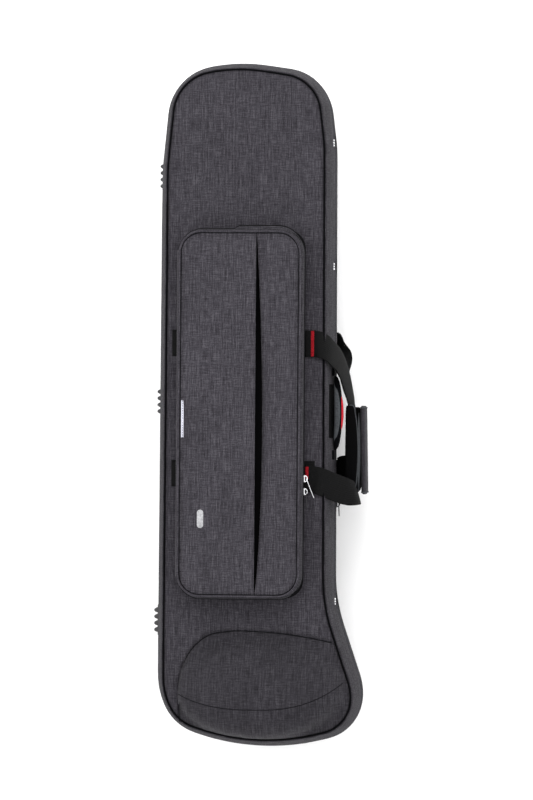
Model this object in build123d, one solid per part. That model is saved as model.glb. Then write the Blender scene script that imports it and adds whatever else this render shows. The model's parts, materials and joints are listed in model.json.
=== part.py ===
from build123d import *
import math
import os

# Tenor trombone case: a foam shell in two halves, covered in melange fabric.
# It lies on its flat back.  +X is the handle side, -X the spine, +Y the slim
# end, -Y the bell end, +Z the front.  The origin is on the back face.

# ---- driving dimensions, mm -------------------------------------------------
PARTING = 105.0        # height of the zipper line above the back face
FRONT = 175.0          # height of the flat front panel
BACK_INSET = 12.0      # how far the back edge is inside the zipper line
FRONT_INSET = 12.0     # how far the front edge is inside the zipper line
SPLIT_GAP = 0.3        # each half stops this far from the parting plane
COVER = 2.0            # covered fabric with its backing
SKIN_INSET = 0.8       # the covers sit this far inside the zipper tape
FOAM = 12.0            # foam wall
LINING = 1.5           # plush lining

# Zipper-line outline, clockwise from the upper spine: x, y, corner radius
OUTLINE = (
    (-126.5, 336.0, 255.0),
    (-113.5, 472.0, 75.0),
    (-16.5, 490.0, 240.0),
    (109.0, 471.5, 71.0),
    (121.5, 368.0, 250.0),
    (124.0, -279.0, 235.0),
    (163.0, -396.0, 89.0),
    (167.5, -460.0, 63.0),
    (20.0, -500.0, 325.0),
    (-107.0, -457.5, 71.0),
    (-128.0, -406.0, 110.0),
)

# Raised dome over the bell
DOME_CENTRE = (20.0, -397.0)
DOME_RADII = (120.0, 70.0)
DOME_CREST = 235.0
DOME_LEAN = -22.0      # the crest lies this far towards the bell end
DOME_SHRINK = (1.0, 0.88, 0.7, 0.48, 0.18)
DOME_RISE = (0.0, 0.42, 0.7, 0.88, 1.0)

# Box pocket on the front
POCKET_CENTRE = (-5.5, -12.5)
POCKET_SIZE = (177.0, 519.0)
POCKET_RADIUS = 26.0
POCKET_TOP = 213.0
POCKET_ZIP = 196.0     # height of the pocket zipper
POCKET_WALL = 3.0
POCKET_PANEL = 2.4
SLIT_X = 16.0          # slip opening between the two front panels
SLIT_WIDTH = 5.0
SLIT_END = 9.0         # panels are joined this far from each end

# Webbing
WEB_WIDTH = 38.0
WEB = 1.8
HANDLE_WEB = 2.4
BAND_Y = (87.0, -97.0)
BAND_LEFT = -105.0
BAND_RIGHT = 98.0

# Padded wrap that joins the two handle loops
WRAP_Y = (-126.0, 0.0)
WRAP_INNER_X = (137.0, 146.5)
WRAP_OUTER_X = (159.5, 168.0)
WRAP_Z = (64.0, 128.0)
WRAP_FOLD_TOP = 86.0

# Small padded handle on the lid's side wall
SIDE_HANDLE_Y = (-63.0, 42.0)
SIDE_HANDLE_Z = 128.0

# Rubber feet on the spine side
FOOT_Y = {"upper": 328.0, "middle": 4.0, "lower": -310.0}
FOOT_TIP_X = {"upper": -133.5, "middle": -135.5, "lower": -138.0}
FOOT_Z = (44.0, 92.0)
FOOT_PITCH = 9.4
FOOT_TEETH = 4

# Studs along the lid's side wall: x of the zipper line there, y
STUD_SITES = ((120.8, 374.0), (122.2, 198.0), (122.7, 66.0), (123.4, -119.0), (127.1, -279.0))
STUD_Z = 120.0
STUD_RADIUS = 5.5

# Zip sliders: starting height along the case
MAIN_SLIDER_Y = {"upper": -112.0, "lower": -140.0}
POCKET_SLIDER_Y = {"upper": -103.0, "lower": -121.0}
SLIDER_LENGTH = 11.0
SLIDER_WIDTH = 8.0
SLIDER_PLATE = 1.8
PIN_HEIGHT = 3.7       # the pull's pin above the slider's underside
PIN_RADIUS = 0.5


# ---- helpers ----------------------------------------------------------------
def inset_corners(inset):
    """Corners and radii of the zipper-line outline moved inwards."""
    count = len(OUTLINE)
    corners = []
    for i in range(count):
        x0, y0, _ = OUTLINE[i - 1]
        x1, y1, radius = OUTLINE[i]
        x2, y2, _ = OUTLINE[(i + 1) % count]
        before = Vector(x1 - x0, y1 - y0).normalized()
        after = Vector(x2 - x1, y2 - y1).normalized()
        turn = before.X * after.Y - before.Y * after.X
        half = math.asin(max(-1.0, min(1.0, turn))) / 2
        # the path runs clockwise, so inwards is to the right of its direction
        middle = (before + after).normalized()
        shift = Vector(middle.Y, -middle.X) * (inset / math.cos(half))
        new_radius = radius - inset if turn < 0 else radius + inset
        corners.append((x1 + shift.X, y1 + shift.Y, new_radius))
    return corners


def outline_wire(inset):
    corners = inset_corners(inset)
    points = [(x, y) for x, y, _ in corners]
    radii = [radius for _, _, radius in corners]
    return FilletPolyline(*points, radius=radii, close=True)


def outline_face(inset, z):
    return Pos(0, 0, z) * make_face(outline_wire(inset))


def draft(z):
    """Inset of the case's outside at a height, measured from the zipper line."""
    if z <= PARTING:
        return BACK_INSET * (1 - z / PARTING)
    return FRONT_INSET * (z - PARTING) / (FRONT - PARTING)


def block(depth, z_low, z_high):
    """Solid of the case between two heights, a depth inside its outside."""
    low = outline_face(draft(z_low) + depth, z_low)
    high = outline_face(draft(z_high) + depth, z_high)
    return loft([low, high], ruled=True)


def ring(depth_out, depth_in, z_low, z_high):
    """Wall of the case between two depths."""
    return block(depth_out, z_low, z_high) - block(depth_in, z_low, z_high)


def box_between(low, high):
    size = [b - a for a, b in zip(low, high)]
    middle = [(a + b) / 2 for a, b in zip(low, high)]
    return Pos(*middle) * Box(*size)


def dome(depth, floor):
    """Solid of the bell dome, a depth inside its outside, down to a floor."""
    crest = DOME_CREST - depth
    centre_x, centre_y = DOME_CENTRE
    rx, ry = DOME_RADII
    sections = [Pos(centre_x, centre_y, floor) * Ellipse(rx - depth, ry - depth)]
    for rise, shrink in zip(DOME_RISE, DOME_SHRINK):
        z = FRONT + (crest - FRONT) * rise
        y = centre_y + DOME_LEAN * rise
        sections.append(Pos(centre_x, y, z) * Ellipse((rx - depth) * shrink, (ry - depth) * shrink))
    return loft([section.face() for section in sections], ruled=True)


def pocket_block(inset, z_low, z_high):
    width, length = POCKET_SIZE
    plan = RectangleRounded(width - 2 * inset, length - 2 * inset, POCKET_RADIUS - inset)
    return Pos(*POCKET_CENTRE, z_low) * extrude(plan, z_high - z_low)


def pocket_ring(inset_out, inset_in, z_low, z_high):
    return pocket_block(inset_out, z_low, z_high) - pocket_block(inset_in, z_low - 1, z_high + 1)


def tube(path, radius):
    """Round cord along a closed path."""
    start = path @ 0
    plane = Plane(origin=start, z_dir=path % 0)
    return sweep(plane * Circle(radius), path=path)


def bent_plate(points, radius, thickness):
    """Plate bent in the XZ plane and long in Y, for cutting straps from."""
    path = FilletPolyline(*[(x, 0, z) for x, z in points], radius=radius)
    plane = Plane(origin=path @ 0, x_dir=(0, 1, 0), z_dir=path % 0)
    return sweep(plane * Rectangle(360, thickness), path=path)


def strap_plan(outer_x, inner_x, lower_leg, z_low, z_high):
    """Prism whose plan is the C of a handle loop.

    lower_leg gives the far edge and near edge in y where the lower leg meets the grip.
    """
    start = 70
    half = WEB_WIDTH / 2
    upper, lower = BAND_Y
    far, near = lower_leg
    points = (
        (start, upper + half),
        (104, upper + half - 2),
        (126, upper + 5),
        (outer_x, 32),
        (outer_x, far + 10),
        (150, far),
        (126, (far + lower - half) / 2 - 6),
        (start, lower - half),
        (start, lower + half),
        (112, (near + lower + half) / 2),
        (inner_x, near),
        (inner_x, 4),
        (116, upper - half - 6),
        (start, upper - half),
    )
    radii = (0, 9, 14, 14, 6, 6, 9, 0, 0, 9, 6, 14, 9, 0)
    plan = make_face(FilletPolyline(*points, radius=radii, close=True))
    return Pos(0, 0, z_low) * extrude(plan, z_high - z_low)


# ---- base half --------------------------------------------------------------
def base_shell():
    top = PARTING - SPLIT_GAP
    outer = block(SKIN_INSET + COVER, COVER, top)
    cavity = block(SKIN_INSET + COVER + FOAM, COVER + FOAM, top + 0.2)
    return outer - cavity


def base_side_cover():
    return ring(SKIN_INSET, SKIN_INSET + COVER, COVER, PARTING - 4)


def back_cover():
    return block(SKIN_INSET + 2, 0, COVER)


def back_piping():
    radius = 1.8
    path = Pos(0, 0, radius) * outline_wire(draft(0) + SKIN_INSET + 0.2)
    return tube(path, radius) - block(SKIN_INSET + 2, 0, COVER) - base_side_cover() - base_shell()


def base_lining():
    depth = SKIN_INSET + COVER + FOAM
    floor = COVER + FOAM
    top = PARTING - SPLIT_GAP
    return block(depth, floor, top) - block(depth + LINING, floor + LINING, top + 0.2)


def cradle_block(x_range, y_range, height):
    floor = COVER + FOAM + LINING
    return box_between((x_range[0], y_range[0], floor), (x_range[1], y_range[1], floor + height))


def bell_cradle():
    support = cradle_block((-80, 125), (-430, -395), 62)
    bell = Pos(20, -412, 120) * Rot(90, 0, 0) * Cylinder(103, 60)
    return support - bell


def slide_cradle(y_range):
    support = cradle_block((-88, 88), y_range, 46)
    middle_y = (y_range[0] + y_range[1]) / 2
    for x in (-45, 45):
        groove = Pos(x, middle_y, COVER + FOAM + LINING + 38) * Rot(90, 0, 0) * Cylinder(11, 90)
        slot = box_between((x - 11, y_range[0] - 1, 53), (x + 11, y_range[1] + 1, 70))
        support = support - groove - slot
    return support


def slide_strap():
    top = COVER + FOAM + LINING + 46
    return box_between((-84, -42, top), (84, -17, top + WEB))


def base_zipper_tape():
    return ring(0, SKIN_INSET + COVER, PARTING - 4, PARTING - SPLIT_GAP - 1.6)


def base_zipper_teeth():
    return ring(-0.2, SKIN_INSET + COVER, PARTING - SPLIT_GAP - 1.6, PARTING - SPLIT_GAP)


def spine_hinge_strip():
    band = ring(-1.2, 0.0, PARTING - 22, PARTING - SPLIT_GAP - 2)
    side = box_between((-140, -395, 0), (-100, 300, PARTING))
    gap_fill = ring(0.0, SKIN_INSET, PARTING - 22, PARTING - 4)
    return (band & side) + (gap_fill & side)


def foot(name):
    """Ribbed rubber runner: a plate on the side wall with rounded teeth."""
    y = FOOT_Y[name]
    tip = FOOT_TIP_X[name]
    half = FOOT_PITCH * FOOT_TEETH / 2
    points = [(tip + 30, y - half - 4), (tip + 7, y - half - 4)]
    for i in range(FOOT_TEETH):
        start = y - half + i * FOOT_PITCH
        points += [(tip + 5, start), (tip, start + 0.32 * FOOT_PITCH), (tip, start + 0.6 * FOOT_PITCH)]
        points += [(tip + 5, start + 0.92 * FOOT_PITCH)]
    points += [(tip + 7, y + half + 4), (tip + 30, y + half + 4)]
    plan = make_face(Polyline(*points, close=True))
    body = Pos(0, 0, FOOT_Z[0]) * extrude(plan, FOOT_Z[1] - FOOT_Z[0])
    body = body - block(SKIN_INSET, 1, PARTING - 1)
    strip = ring(-1.2, SKIN_INSET, PARTING - 22, PARTING - SPLIT_GAP)
    side = box_between((-140, -395, 0), (-100, 300, PARTING))
    return body - (strip & side)


def back_strap_loop():
    """Handle loop sewn to the base's side wall."""
    plate = bent_plate(((114.0, 18), (119.3, 60), (156, 76), (156, 124)), 14, HANDLE_WEB)
    plan = strap_plan(170, 141, (-114, -72), 0, 140)
    relief = box_between((120, -72, 40), (153.5, WRAP_Y[1] + 2, 140))
    loop = (plate & plan) - relief - block(SKIN_INSET, 1, PARTING - 1)
    return loop - block(0, PARTING - 4, PARTING)


def grip_wrap_inner():
    """Inner leaf and fold of the padded wrap."""
    leaf = box_between((WRAP_INNER_X[0], WRAP_Y[0], WRAP_Z[0]), (WRAP_INNER_X[1], WRAP_Y[1], WRAP_Z[1]))
    fold = box_between(
        (WRAP_INNER_X[0], WRAP_Y[0], WRAP_Z[0]), (WRAP_OUTER_X[0] - 0.7, WRAP_Y[1], WRAP_FOLD_TOP)
    )
    solid = leaf + fold
    edges = [e for e in solid.edges().filter_by(Axis.Y) if e.center().X < 138 or e.center().Z > 120]
    return fillet(edges, 3.5) - back_strap_loop()


# ---- lid half ---------------------------------------------------------------
def lid_shell():
    bottom = PARTING + SPLIT_GAP
    outer = block(SKIN_INSET + COVER, bottom, FRONT - COVER)
    cavity = block(SKIN_INSET + COVER + FOAM, bottom - 0.2, FRONT - COVER - FOAM)
    return outer - cavity - dome(COVER + FOAM, PARTING + 30)


def lid_side_cover():
    return ring(SKIN_INSET, SKIN_INSET + COVER, PARTING + 4, FRONT - COVER)


def lid_front_panel():
    panel = block(SKIN_INSET + 2, FRONT - COVER, FRONT)
    return panel - dome(0, FRONT - COVER - 1)


def lid_piping():
    """Cord in the notch between the front panel and the side cover."""
    radius = 1.6
    path = Pos(0, 0, FRONT - 0.25) * outline_wire(draft(FRONT) + SKIN_INSET + 0.25)
    return tube(path, radius)


def bell_dome():
    return dome(COVER, FRONT - COVER) - dome(COVER + FOAM, FRONT - COVER - 1)


def bell_patch():
    return dome(0, FRONT - COVER) - dome(COVER, FRONT - COVER - 1)


def lid_lining():
    depth = SKIN_INSET + COVER + FOAM
    ceiling = FRONT - COVER - FOAM
    bottom = PARTING + SPLIT_GAP
    layer = block(depth, bottom, ceiling) - block(depth + LINING, bottom - 0.2, ceiling - LINING)
    return layer - dome(COVER + FOAM, PARTING + 30)


def lid_zipper_tape():
    return ring(0, SKIN_INSET + COVER, PARTING + SPLIT_GAP + 1.6, PARTING + 4)


def lid_zipper_teeth():
    return ring(-0.2, SKIN_INSET + COVER, PARTING + SPLIT_GAP, PARTING + SPLIT_GAP + 1.6)


def rim_studs():
    """Domed metal caps with dark washers, one solid at each place."""
    slope = math.degrees(math.atan2(FRONT_INSET, FRONT - PARTING))
    wall_shift = draft(STUD_Z) + SKIN_INSET
    studs = []
    for x, y in STUD_SITES:
        cap = Sphere(STUD_RADIUS) & (Pos(0, 0, 6.3) * Box(14, 14, 5))
        washer = Pos(0, 0, 3.2) * Cylinder(STUD_RADIUS + 0.8, 1.6)
        stud = Pos(x - wall_shift - 2.2, y, STUD_Z) * Rot(0, 90 - slope, 0) * (cap + washer)
        studs.append(stud - block(SKIN_INSET, PARTING + 1, FRONT - 1))
    return Compound(children=studs)


def side_reinforcement_patch():
    skin = block(SKIN_INSET - 1.0, PARTING + 4.4, FRONT - 20) - block(SKIN_INSET, PARTING + 4.4, FRONT - 20)
    return skin & box_between((90, -46, PARTING), (150, 30, 149))


def side_handle_tabs():
    """Sewn ends that hold the small side handle."""
    low, high = SIDE_HANDLE_Y
    solids = []
    for y_range in ((low - 14, low - 0.5), (high + 0.5, high + 14)):
        tab = box_between((105, y_range[0], SIDE_HANDLE_Z - 12), (123.5, y_range[1], SIDE_HANDLE_Z + 12))
        solids.append(tab - block(SKIN_INSET, PARTING + 1, FRONT - 1))
    return Compound(children=solids)


def band(y):
    """Webbing that crosses the front under the pocket."""
    return box_between((BAND_LEFT, y - WEB_WIDTH / 2, FRONT), (BAND_RIGHT, y + WEB_WIDTH / 2, FRONT + WEB))


def bartacks():
    """Dense red stitching where the handle webbing leaves the front."""
    top = FRONT + WEB + HANDLE_WEB
    upper, lower = BAND_Y
    solids = [
        box_between((91.5, upper - 18, top), (96, upper + 18, top + 0.5)),
        box_between((85.5, lower - 6, top), (89.5, lower + 18, top + 0.5)),
    ]
    return Compound(children=solids)


def front_strap_loop():
    """Handle loop sewn to the front, reaching down to the padded wrap."""
    z = FRONT + WEB + HANDLE_WEB / 2
    plate = bent_plate(((85, z), (118, z), (150, 140), (150, 90)), 22, HANDLE_WEB)
    plan = strap_plan(166, 134, (-147, -104), 80, 200)
    relief_legs = box_between((120, WRAP_Y[0] + 6, 129), (148.6, WRAP_Y[1] - 2, 190))
    relief_top = box_between((140, WRAP_Y[0] + 10, 122), (160, WRAP_Y[1] - 8, 190))
    return (plate & plan) - relief_legs - relief_top


# ---- pocket -----------------------------------------------------------------
def pocket_back_panel():
    panel = pocket_block(0, FRONT, FRONT + 2.4)
    half = WEB_WIDTH / 2 + 0.2
    for y in BAND_Y:
        panel = panel - box_between((-120, y - half, FRONT - 1), (110, y + half, FRONT + WEB))
    return panel


def pocket_gusset_fixed():
    return pocket_ring(0, POCKET_WALL, FRONT + 2.4, POCKET_ZIP - 3)


def pocket_zipper_fixed():
    return pocket_ring(-0.6, 2, POCKET_ZIP - 3, POCKET_ZIP - 0.2)


def pocket_zipper_flap():
    return pocket_ring(-0.6, 2, POCKET_ZIP + 0.2, POCKET_ZIP + 3)


def pocket_gusset_flap():
    return pocket_ring(0, POCKET_WALL, POCKET_ZIP + 3, POCKET_TOP - POCKET_PANEL)


def pocket_front():
    """Whole front panel with the slip opening cut through it."""
    _, centre_y = POCKET_CENTRE
    half = POCKET_SIZE[1] / 2 - SLIT_END
    slit = box_between(
        (SLIT_X, centre_y - half, POCKET_TOP - 10), (SLIT_X + SLIT_WIDTH, centre_y + half, POCKET_TOP + 5)
    )
    return pocket_block(2, POCKET_TOP - POCKET_PANEL, POCKET_TOP) - slit


def pocket_panel_left():
    return pocket_front() & box_between((-150, -400, 150), (SLIT_X, 400, 260))


def pocket_panel_right():
    return pocket_front() & box_between((SLIT_X, -400, 150), (150, 400, 260))


def pocket_slip_lining():
    """Inner leaf of the flat slip pocket, hanging below the slit."""
    inner = pocket_block(POCKET_WALL, POCKET_TOP - 9, POCKET_TOP - 7.8)
    floor = inner & box_between((SLIT_X - 12, -400, 150), (150, 400, 260))
    wall = box_between((SLIT_X - 12, -255, POCKET_TOP - 9), (SLIT_X - 10.8, 230, POCKET_TOP - POCKET_PANEL))
    return floor + wall


def pocket_piping():
    radius = 1.8
    width, length = POCKET_SIZE
    inset = 1.6
    plan = RectangleRounded(width - 2 * inset, length - 2 * inset, POCKET_RADIUS - inset)
    path = Pos(*POCKET_CENTRE, POCKET_TOP - 0.6) * plan.wire()
    return tube(path, radius) - pocket_front() - pocket_gusset_flap()


def reflective_tab():
    return box_between((-88, -46, POCKET_TOP), (-84.5, 6, POCKET_TOP + 0.4))


def badge():
    """Plain oval badge, without any mark."""
    plan = SlotOverall(26, 9)
    return Pos(-60, -160, POCKET_TOP) * Rot(0, 0, 90) * extrude(plan, 0.8)


# ---- moving handles ---------------------------------------------------------
def grip_wrap_outer():
    """Outer leaf of the padded wrap, hinged on the fold."""
    leaf = box_between((WRAP_OUTER_X[0], WRAP_Y[0], WRAP_Z[0]), (WRAP_OUTER_X[1], WRAP_Y[1], WRAP_Z[1]))
    edges = [e for e in leaf.edges().filter_by(Axis.Y) if e.center().X > 165 or e.center().Z > 120]
    return fillet(edges, 3.5)


def arched_bar(y_low, y_high, x_ends, x_middle, thickness, half_width):
    """Bar along Y that bows outwards in X."""
    middle = (y_low + y_high) / 2
    inner = ThreePointArc((x_ends, y_low), (x_middle, middle), (x_ends, y_high))
    outer = ThreePointArc((x_ends + 2.5, y_low), (x_middle + thickness, middle), (x_ends + 2.5, y_high))
    sides = Line(inner @ 0, outer @ 0) + Line(inner @ 1, outer @ 1)
    plan = make_face(inner + outer + sides)
    bar = Pos(0, 0, SIDE_HANDLE_Z - half_width) * extrude(plan, 2 * half_width)
    lens = make_face(
        ThreePointArc((y_low - 6, 4), (middle, half_width), (y_high + 6, 4))
        + ThreePointArc((y_low - 6, -4), (middle, -half_width), (y_high + 6, -4))
        + Line((y_low - 6, 4), (y_low - 6, -4))
        + Line((y_high + 6, 4), (y_high + 6, -4))
    )
    outline = Plane(origin=(100, 0, SIDE_HANDLE_Z), x_dir=(0, 1, 0), z_dir=(1, 0, 0)) * lens
    return bar & extrude(outline, 50)


def side_handle_grip():
    low, high = SIDE_HANDLE_Y
    return arched_bar(low, high, 121.0, 126.4, 5.2, 13)


def side_handle_stripe():
    """Red inlay on the outside of the small handle."""
    grip = side_handle_grip()
    shifted = Pos(0.9, 0, 0) * grip
    return (shifted - grip) & box_between((110, -34, SIDE_HANDLE_Z - 4), (150, 15, SIDE_HANDLE_Z + 4))


# ---- zip sliders and pulls --------------------------------------------------
def slider(x, y, z):
    """Slider on a wall that faces +X, with a bridge and pin for its pull."""
    plan = RectangleRounded(SLIDER_LENGTH, SLIDER_WIDTH, 2.5)
    plane = Plane(origin=(x, y, z), x_dir=(0, 1, 0), z_dir=(1, 0, 0))
    plate = extrude(plane * plan, SLIDER_PLATE)
    top = PIN_HEIGHT + 1.4
    posts = box_between((x + SLIDER_PLATE, y - 2, z - 2.6), (x + top, y + 2, z - 1.4))
    posts = posts + box_between((x + SLIDER_PLATE, y - 2, z + 1.4), (x + top, y + 2, z + 2.6))
    pin = Pos(x + PIN_HEIGHT, y, z) * Cylinder(PIN_RADIUS, 4)
    return plate + posts + pin


def pull(x, y, z, length, angle):
    """Flat pull on the slider's pin, turned out from the wall by an angle."""
    eye = Cylinder(1.5, 2.2) - Cylinder(PIN_RADIUS + 0.3, 4)
    shank = box_between((-0.7, -9, -1.1), (0.7, -1.1, 1.1))
    tab_plan = Pos(0, -(length + 8) / 2) * RectangleRounded(1.6, length - 8, 0.7)
    tab = Pos(0, 0, -2.4) * extrude(tab_plan, 4.8)
    return Pos(x + PIN_HEIGHT, y, z) * Rot(0, 0, angle) * (eye + shank + tab)


def main_wall_x(y):
    """The zipper line on the handle side, where it is straight."""
    return 121.5 + (368 - y) * 2.5 / 647


POCKET_WALL_X = POCKET_CENTRE[0] + POCKET_SIZE[0] / 2 + 0.6
# Length of each pull and how far it stands out from the wall, in degrees
PULLS = {"main_upper": (18, 2), "main_lower": (18, 2), "pocket_upper": (30, 22), "pocket_lower": (24, 2)}


def main_slider(name):
    y = MAIN_SLIDER_Y[name]
    return slider(main_wall_x(y) + 0.9, y, PARTING)


def main_pull(name):
    y = MAIN_SLIDER_Y[name]
    return pull(main_wall_x(y) + 0.9, y, PARTING, *PULLS["main_" + name])


def pocket_slider(name):
    return slider(POCKET_WALL_X + 0.3, POCKET_SLIDER_Y[name], POCKET_ZIP)


def pocket_pull(name):
    return pull(POCKET_WALL_X + 0.3, POCKET_SLIDER_Y[name], POCKET_ZIP, *PULLS["pocket_" + name])


# ---- write every sub-part ---------------------------------------------------
def all_parts():
    parts = {
        "base_shell": base_shell(),
        "base_side_cover": base_side_cover(),
        "back_cover": back_cover(),
        "back_piping": back_piping(),
        "base_lining": base_lining(),
        "bell_cradle": bell_cradle(),
        "slide_cradle_upper": slide_cradle((330, 375)),
        "slide_cradle_lower": slide_cradle((-60, 0)),
        "slide_strap": slide_strap(),
        "base_zipper_tape": base_zipper_tape(),
        "base_zipper_teeth": base_zipper_teeth(),
        "spine_hinge_strip": spine_hinge_strip(),
        "back_strap_loop": back_strap_loop(),
        "grip_wrap_inner": grip_wrap_inner(),
        "grip_wrap_outer": grip_wrap_outer(),
        "lid_shell": lid_shell(),
        "lid_side_cover": lid_side_cover(),
        "lid_front_panel": lid_front_panel(),
        "lid_piping": lid_piping(),
        "bell_dome": bell_dome(),
        "bell_patch": bell_patch(),
        "lid_lining": lid_lining(),
        "lid_zipper_tape": lid_zipper_tape(),
        "lid_zipper_teeth": lid_zipper_teeth(),
        "rim_studs": rim_studs(),
        "side_reinforcement_patch": side_reinforcement_patch(),
        "side_handle_tabs": side_handle_tabs(),
        "side_handle_grip": side_handle_grip(),
        "side_handle_stripe": side_handle_stripe(),
        "band_upper": band(BAND_Y[0]),
        "band_lower": band(BAND_Y[1]),
        "bartacks": bartacks(),
        "front_strap_loop": front_strap_loop(),
        "pocket_back_panel": pocket_back_panel(),
        "pocket_gusset_fixed": pocket_gusset_fixed(),
        "pocket_zipper_fixed": pocket_zipper_fixed(),
        "pocket_zipper_flap": pocket_zipper_flap(),
        "pocket_gusset_flap": pocket_gusset_flap(),
        "pocket_panel_left": pocket_panel_left(),
        "pocket_panel_right": pocket_panel_right(),
        "pocket_slip_lining": pocket_slip_lining(),
        "pocket_piping": pocket_piping(),
        "reflective_tab": reflective_tab(),
        "badge": badge(),
    }
    for name in FOOT_Y:
        parts["foot_" + name] = foot(name)
    for name in MAIN_SLIDER_Y:
        parts["main_slider_" + name] = main_slider(name)
        parts["main_pull_" + name] = main_pull(name)
        parts["pocket_slider_" + name] = pocket_slider(name)
        parts["pocket_pull_" + name] = pocket_pull(name)
    return parts


os.makedirs("parts", exist_ok=True)
for node, shape in all_parts().items():
    export_step(shape, os.path.join("parts", node + ".step"))
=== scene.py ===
import bmesh
import bpy
import json
import math
import random
import numpy as np
from mathutils import Matrix, Vector, geometry
from mathutils.bvhtree import BVHTree


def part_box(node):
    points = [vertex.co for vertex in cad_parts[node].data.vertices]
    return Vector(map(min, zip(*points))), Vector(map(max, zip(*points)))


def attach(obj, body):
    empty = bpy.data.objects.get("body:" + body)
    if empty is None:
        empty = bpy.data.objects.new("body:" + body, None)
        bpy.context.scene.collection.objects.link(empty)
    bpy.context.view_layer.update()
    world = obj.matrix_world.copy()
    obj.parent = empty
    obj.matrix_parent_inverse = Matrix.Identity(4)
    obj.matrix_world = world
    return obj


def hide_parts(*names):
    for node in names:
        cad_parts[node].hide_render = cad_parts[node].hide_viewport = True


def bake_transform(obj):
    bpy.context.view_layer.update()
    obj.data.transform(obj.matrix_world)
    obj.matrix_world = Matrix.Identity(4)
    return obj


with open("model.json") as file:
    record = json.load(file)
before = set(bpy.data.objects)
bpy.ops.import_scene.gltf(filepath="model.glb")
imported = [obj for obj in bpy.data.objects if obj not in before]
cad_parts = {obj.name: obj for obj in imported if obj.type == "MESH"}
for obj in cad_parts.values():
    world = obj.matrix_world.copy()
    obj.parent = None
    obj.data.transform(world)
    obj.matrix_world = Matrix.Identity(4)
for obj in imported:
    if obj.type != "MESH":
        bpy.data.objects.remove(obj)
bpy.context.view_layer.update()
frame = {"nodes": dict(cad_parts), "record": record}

# ---- driving sizes, metres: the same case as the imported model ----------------
BACK_INSET = 0.012
FRONT_INSET = 0.012
DOME_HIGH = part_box("bell_patch")[1][2]
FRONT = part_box("lid_front_panel")[1][2]
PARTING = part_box("base_zipper_teeth")[1][2] + 0.0003
OUTLINE = (
    (-0.1265, 0.336, 0.255),
    (-0.1135, 0.472, 0.075),
    (-0.0165, 0.490, 0.240),
    (0.109, 0.4715, 0.071),
    (0.1215, 0.368, 0.250),
    (0.124, -0.279, 0.235),
    (0.163, -0.396, 0.089),
    (0.1675, -0.460, 0.063),
    (0.020, -0.500, 0.325),
    (-0.107, -0.4575, 0.071),
    (-0.128, -0.406, 0.110),
)
POCKET_LOW, POCKET_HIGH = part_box("pocket_gusset_flap")
POCKET_CENTRE = ((POCKET_LOW[0] + POCKET_HIGH[0]) / 2, (POCKET_LOW[1] + POCKET_HIGH[1]) / 2)
POCKET_HALF = ((POCKET_HIGH[0] - POCKET_LOW[0]) / 2, (POCKET_HIGH[1] - POCKET_LOW[1]) / 2)
POCKET_RADIUS = 0.034
POCKET_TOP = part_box("pocket_panel_left")[1][2]
POCKET_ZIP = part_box("pocket_zipper_flap")[0][2] - 0.0002
SLIT_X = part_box("pocket_panel_left")[1][0]
SPINE_STRIP = (-0.395, 0.300)     # the hinge strip's two ends along the spine
STUDS = ((0.1208, 0.374), (0.1222, 0.198), (0.1227, 0.066), (0.1234, -0.119), (0.1271, -0.279))
STUD_Z = 0.120
BAND_Y = (0.087, -0.097)
WEB_WIDTH = 0.038


# ---- camera, light and floor -------------------------------------------------
YAW = math.radians(4.6)
ROLL = math.radians(0.42)
DISTANCE = 5.0
VIEW_CENTRE = Vector((0.0234, 0.0072, 0.105))
VIEW_HEIGHT = 1.1446


def make_camera():
    data = bpy.data.cameras.new("camera")
    camera = bpy.data.objects.new("camera", data)
    bpy.context.scene.collection.objects.link(camera)
    away = Vector((math.sin(YAW), 0, math.cos(YAW)))
    camera.location = VIEW_CENTRE + away * DISTANCE
    camera.rotation_euler = (Matrix.Rotation(YAW, 3, "Y") @ Matrix.Rotation(ROLL, 3, "Z")).to_euler()
    data.sensor_fit = "VERTICAL"
    data.sensor_height = 24
    data.lens = 24 * DISTANCE / VIEW_HEIGHT
    data.clip_end = 50
    bpy.context.scene.camera = camera


def area_light(name, place, target, size, power):
    data = bpy.data.lights.new(name, "AREA")
    data.shape = "DISK"
    data.size = size
    data.energy = power
    light = bpy.data.objects.new(name, data)
    light.location = place
    aim = Vector(target) - Vector(place)
    light.rotation_euler = aim.to_track_quat("-Z", "Y").to_euler()
    bpy.context.scene.collection.objects.link(light)


def make_stage():
    world = bpy.data.worlds.new("studio")
    world.use_nodes = True
    background = world.node_tree.nodes["Background"]
    background.inputs["Color"].default_value = (1, 1, 1, 1)
    background.inputs["Strength"].default_value = 1.5
    bpy.context.scene.world = world
    bpy.context.scene.view_settings.view_transform = "Standard"
    area_light("key", (0.2, 2.0, 2.3), (0, 0.1, 0.1), 1.6, 40)
    area_light("side", (2.4, 0.2, 1.3), (0.1, 0, 0.1), 1.2, 4)
    area_light("fill", (-1.8, 0.4, 2.2), (0, 0, 0.1), 1.4, 12)
    mesh = bpy.data.meshes.new("floor")
    mesh.from_pydata([(-6, -6, 0), (6, -6, 0), (6, 6, 0), (-6, 6, 0)], [], [(0, 1, 2, 3)])
    floor = bpy.data.objects.new("floor", mesh)
    bpy.context.scene.collection.objects.link(floor)
    material = bpy.data.materials.new("floor")
    material.use_nodes = True
    shader = material.node_tree.nodes["Principled BSDF"]
    shader.inputs["Base Color"].default_value = (1.0, 1.0, 1.0, 1)
    shader.inputs["Roughness"].default_value = 0.9
    mesh.materials.append(material)


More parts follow.
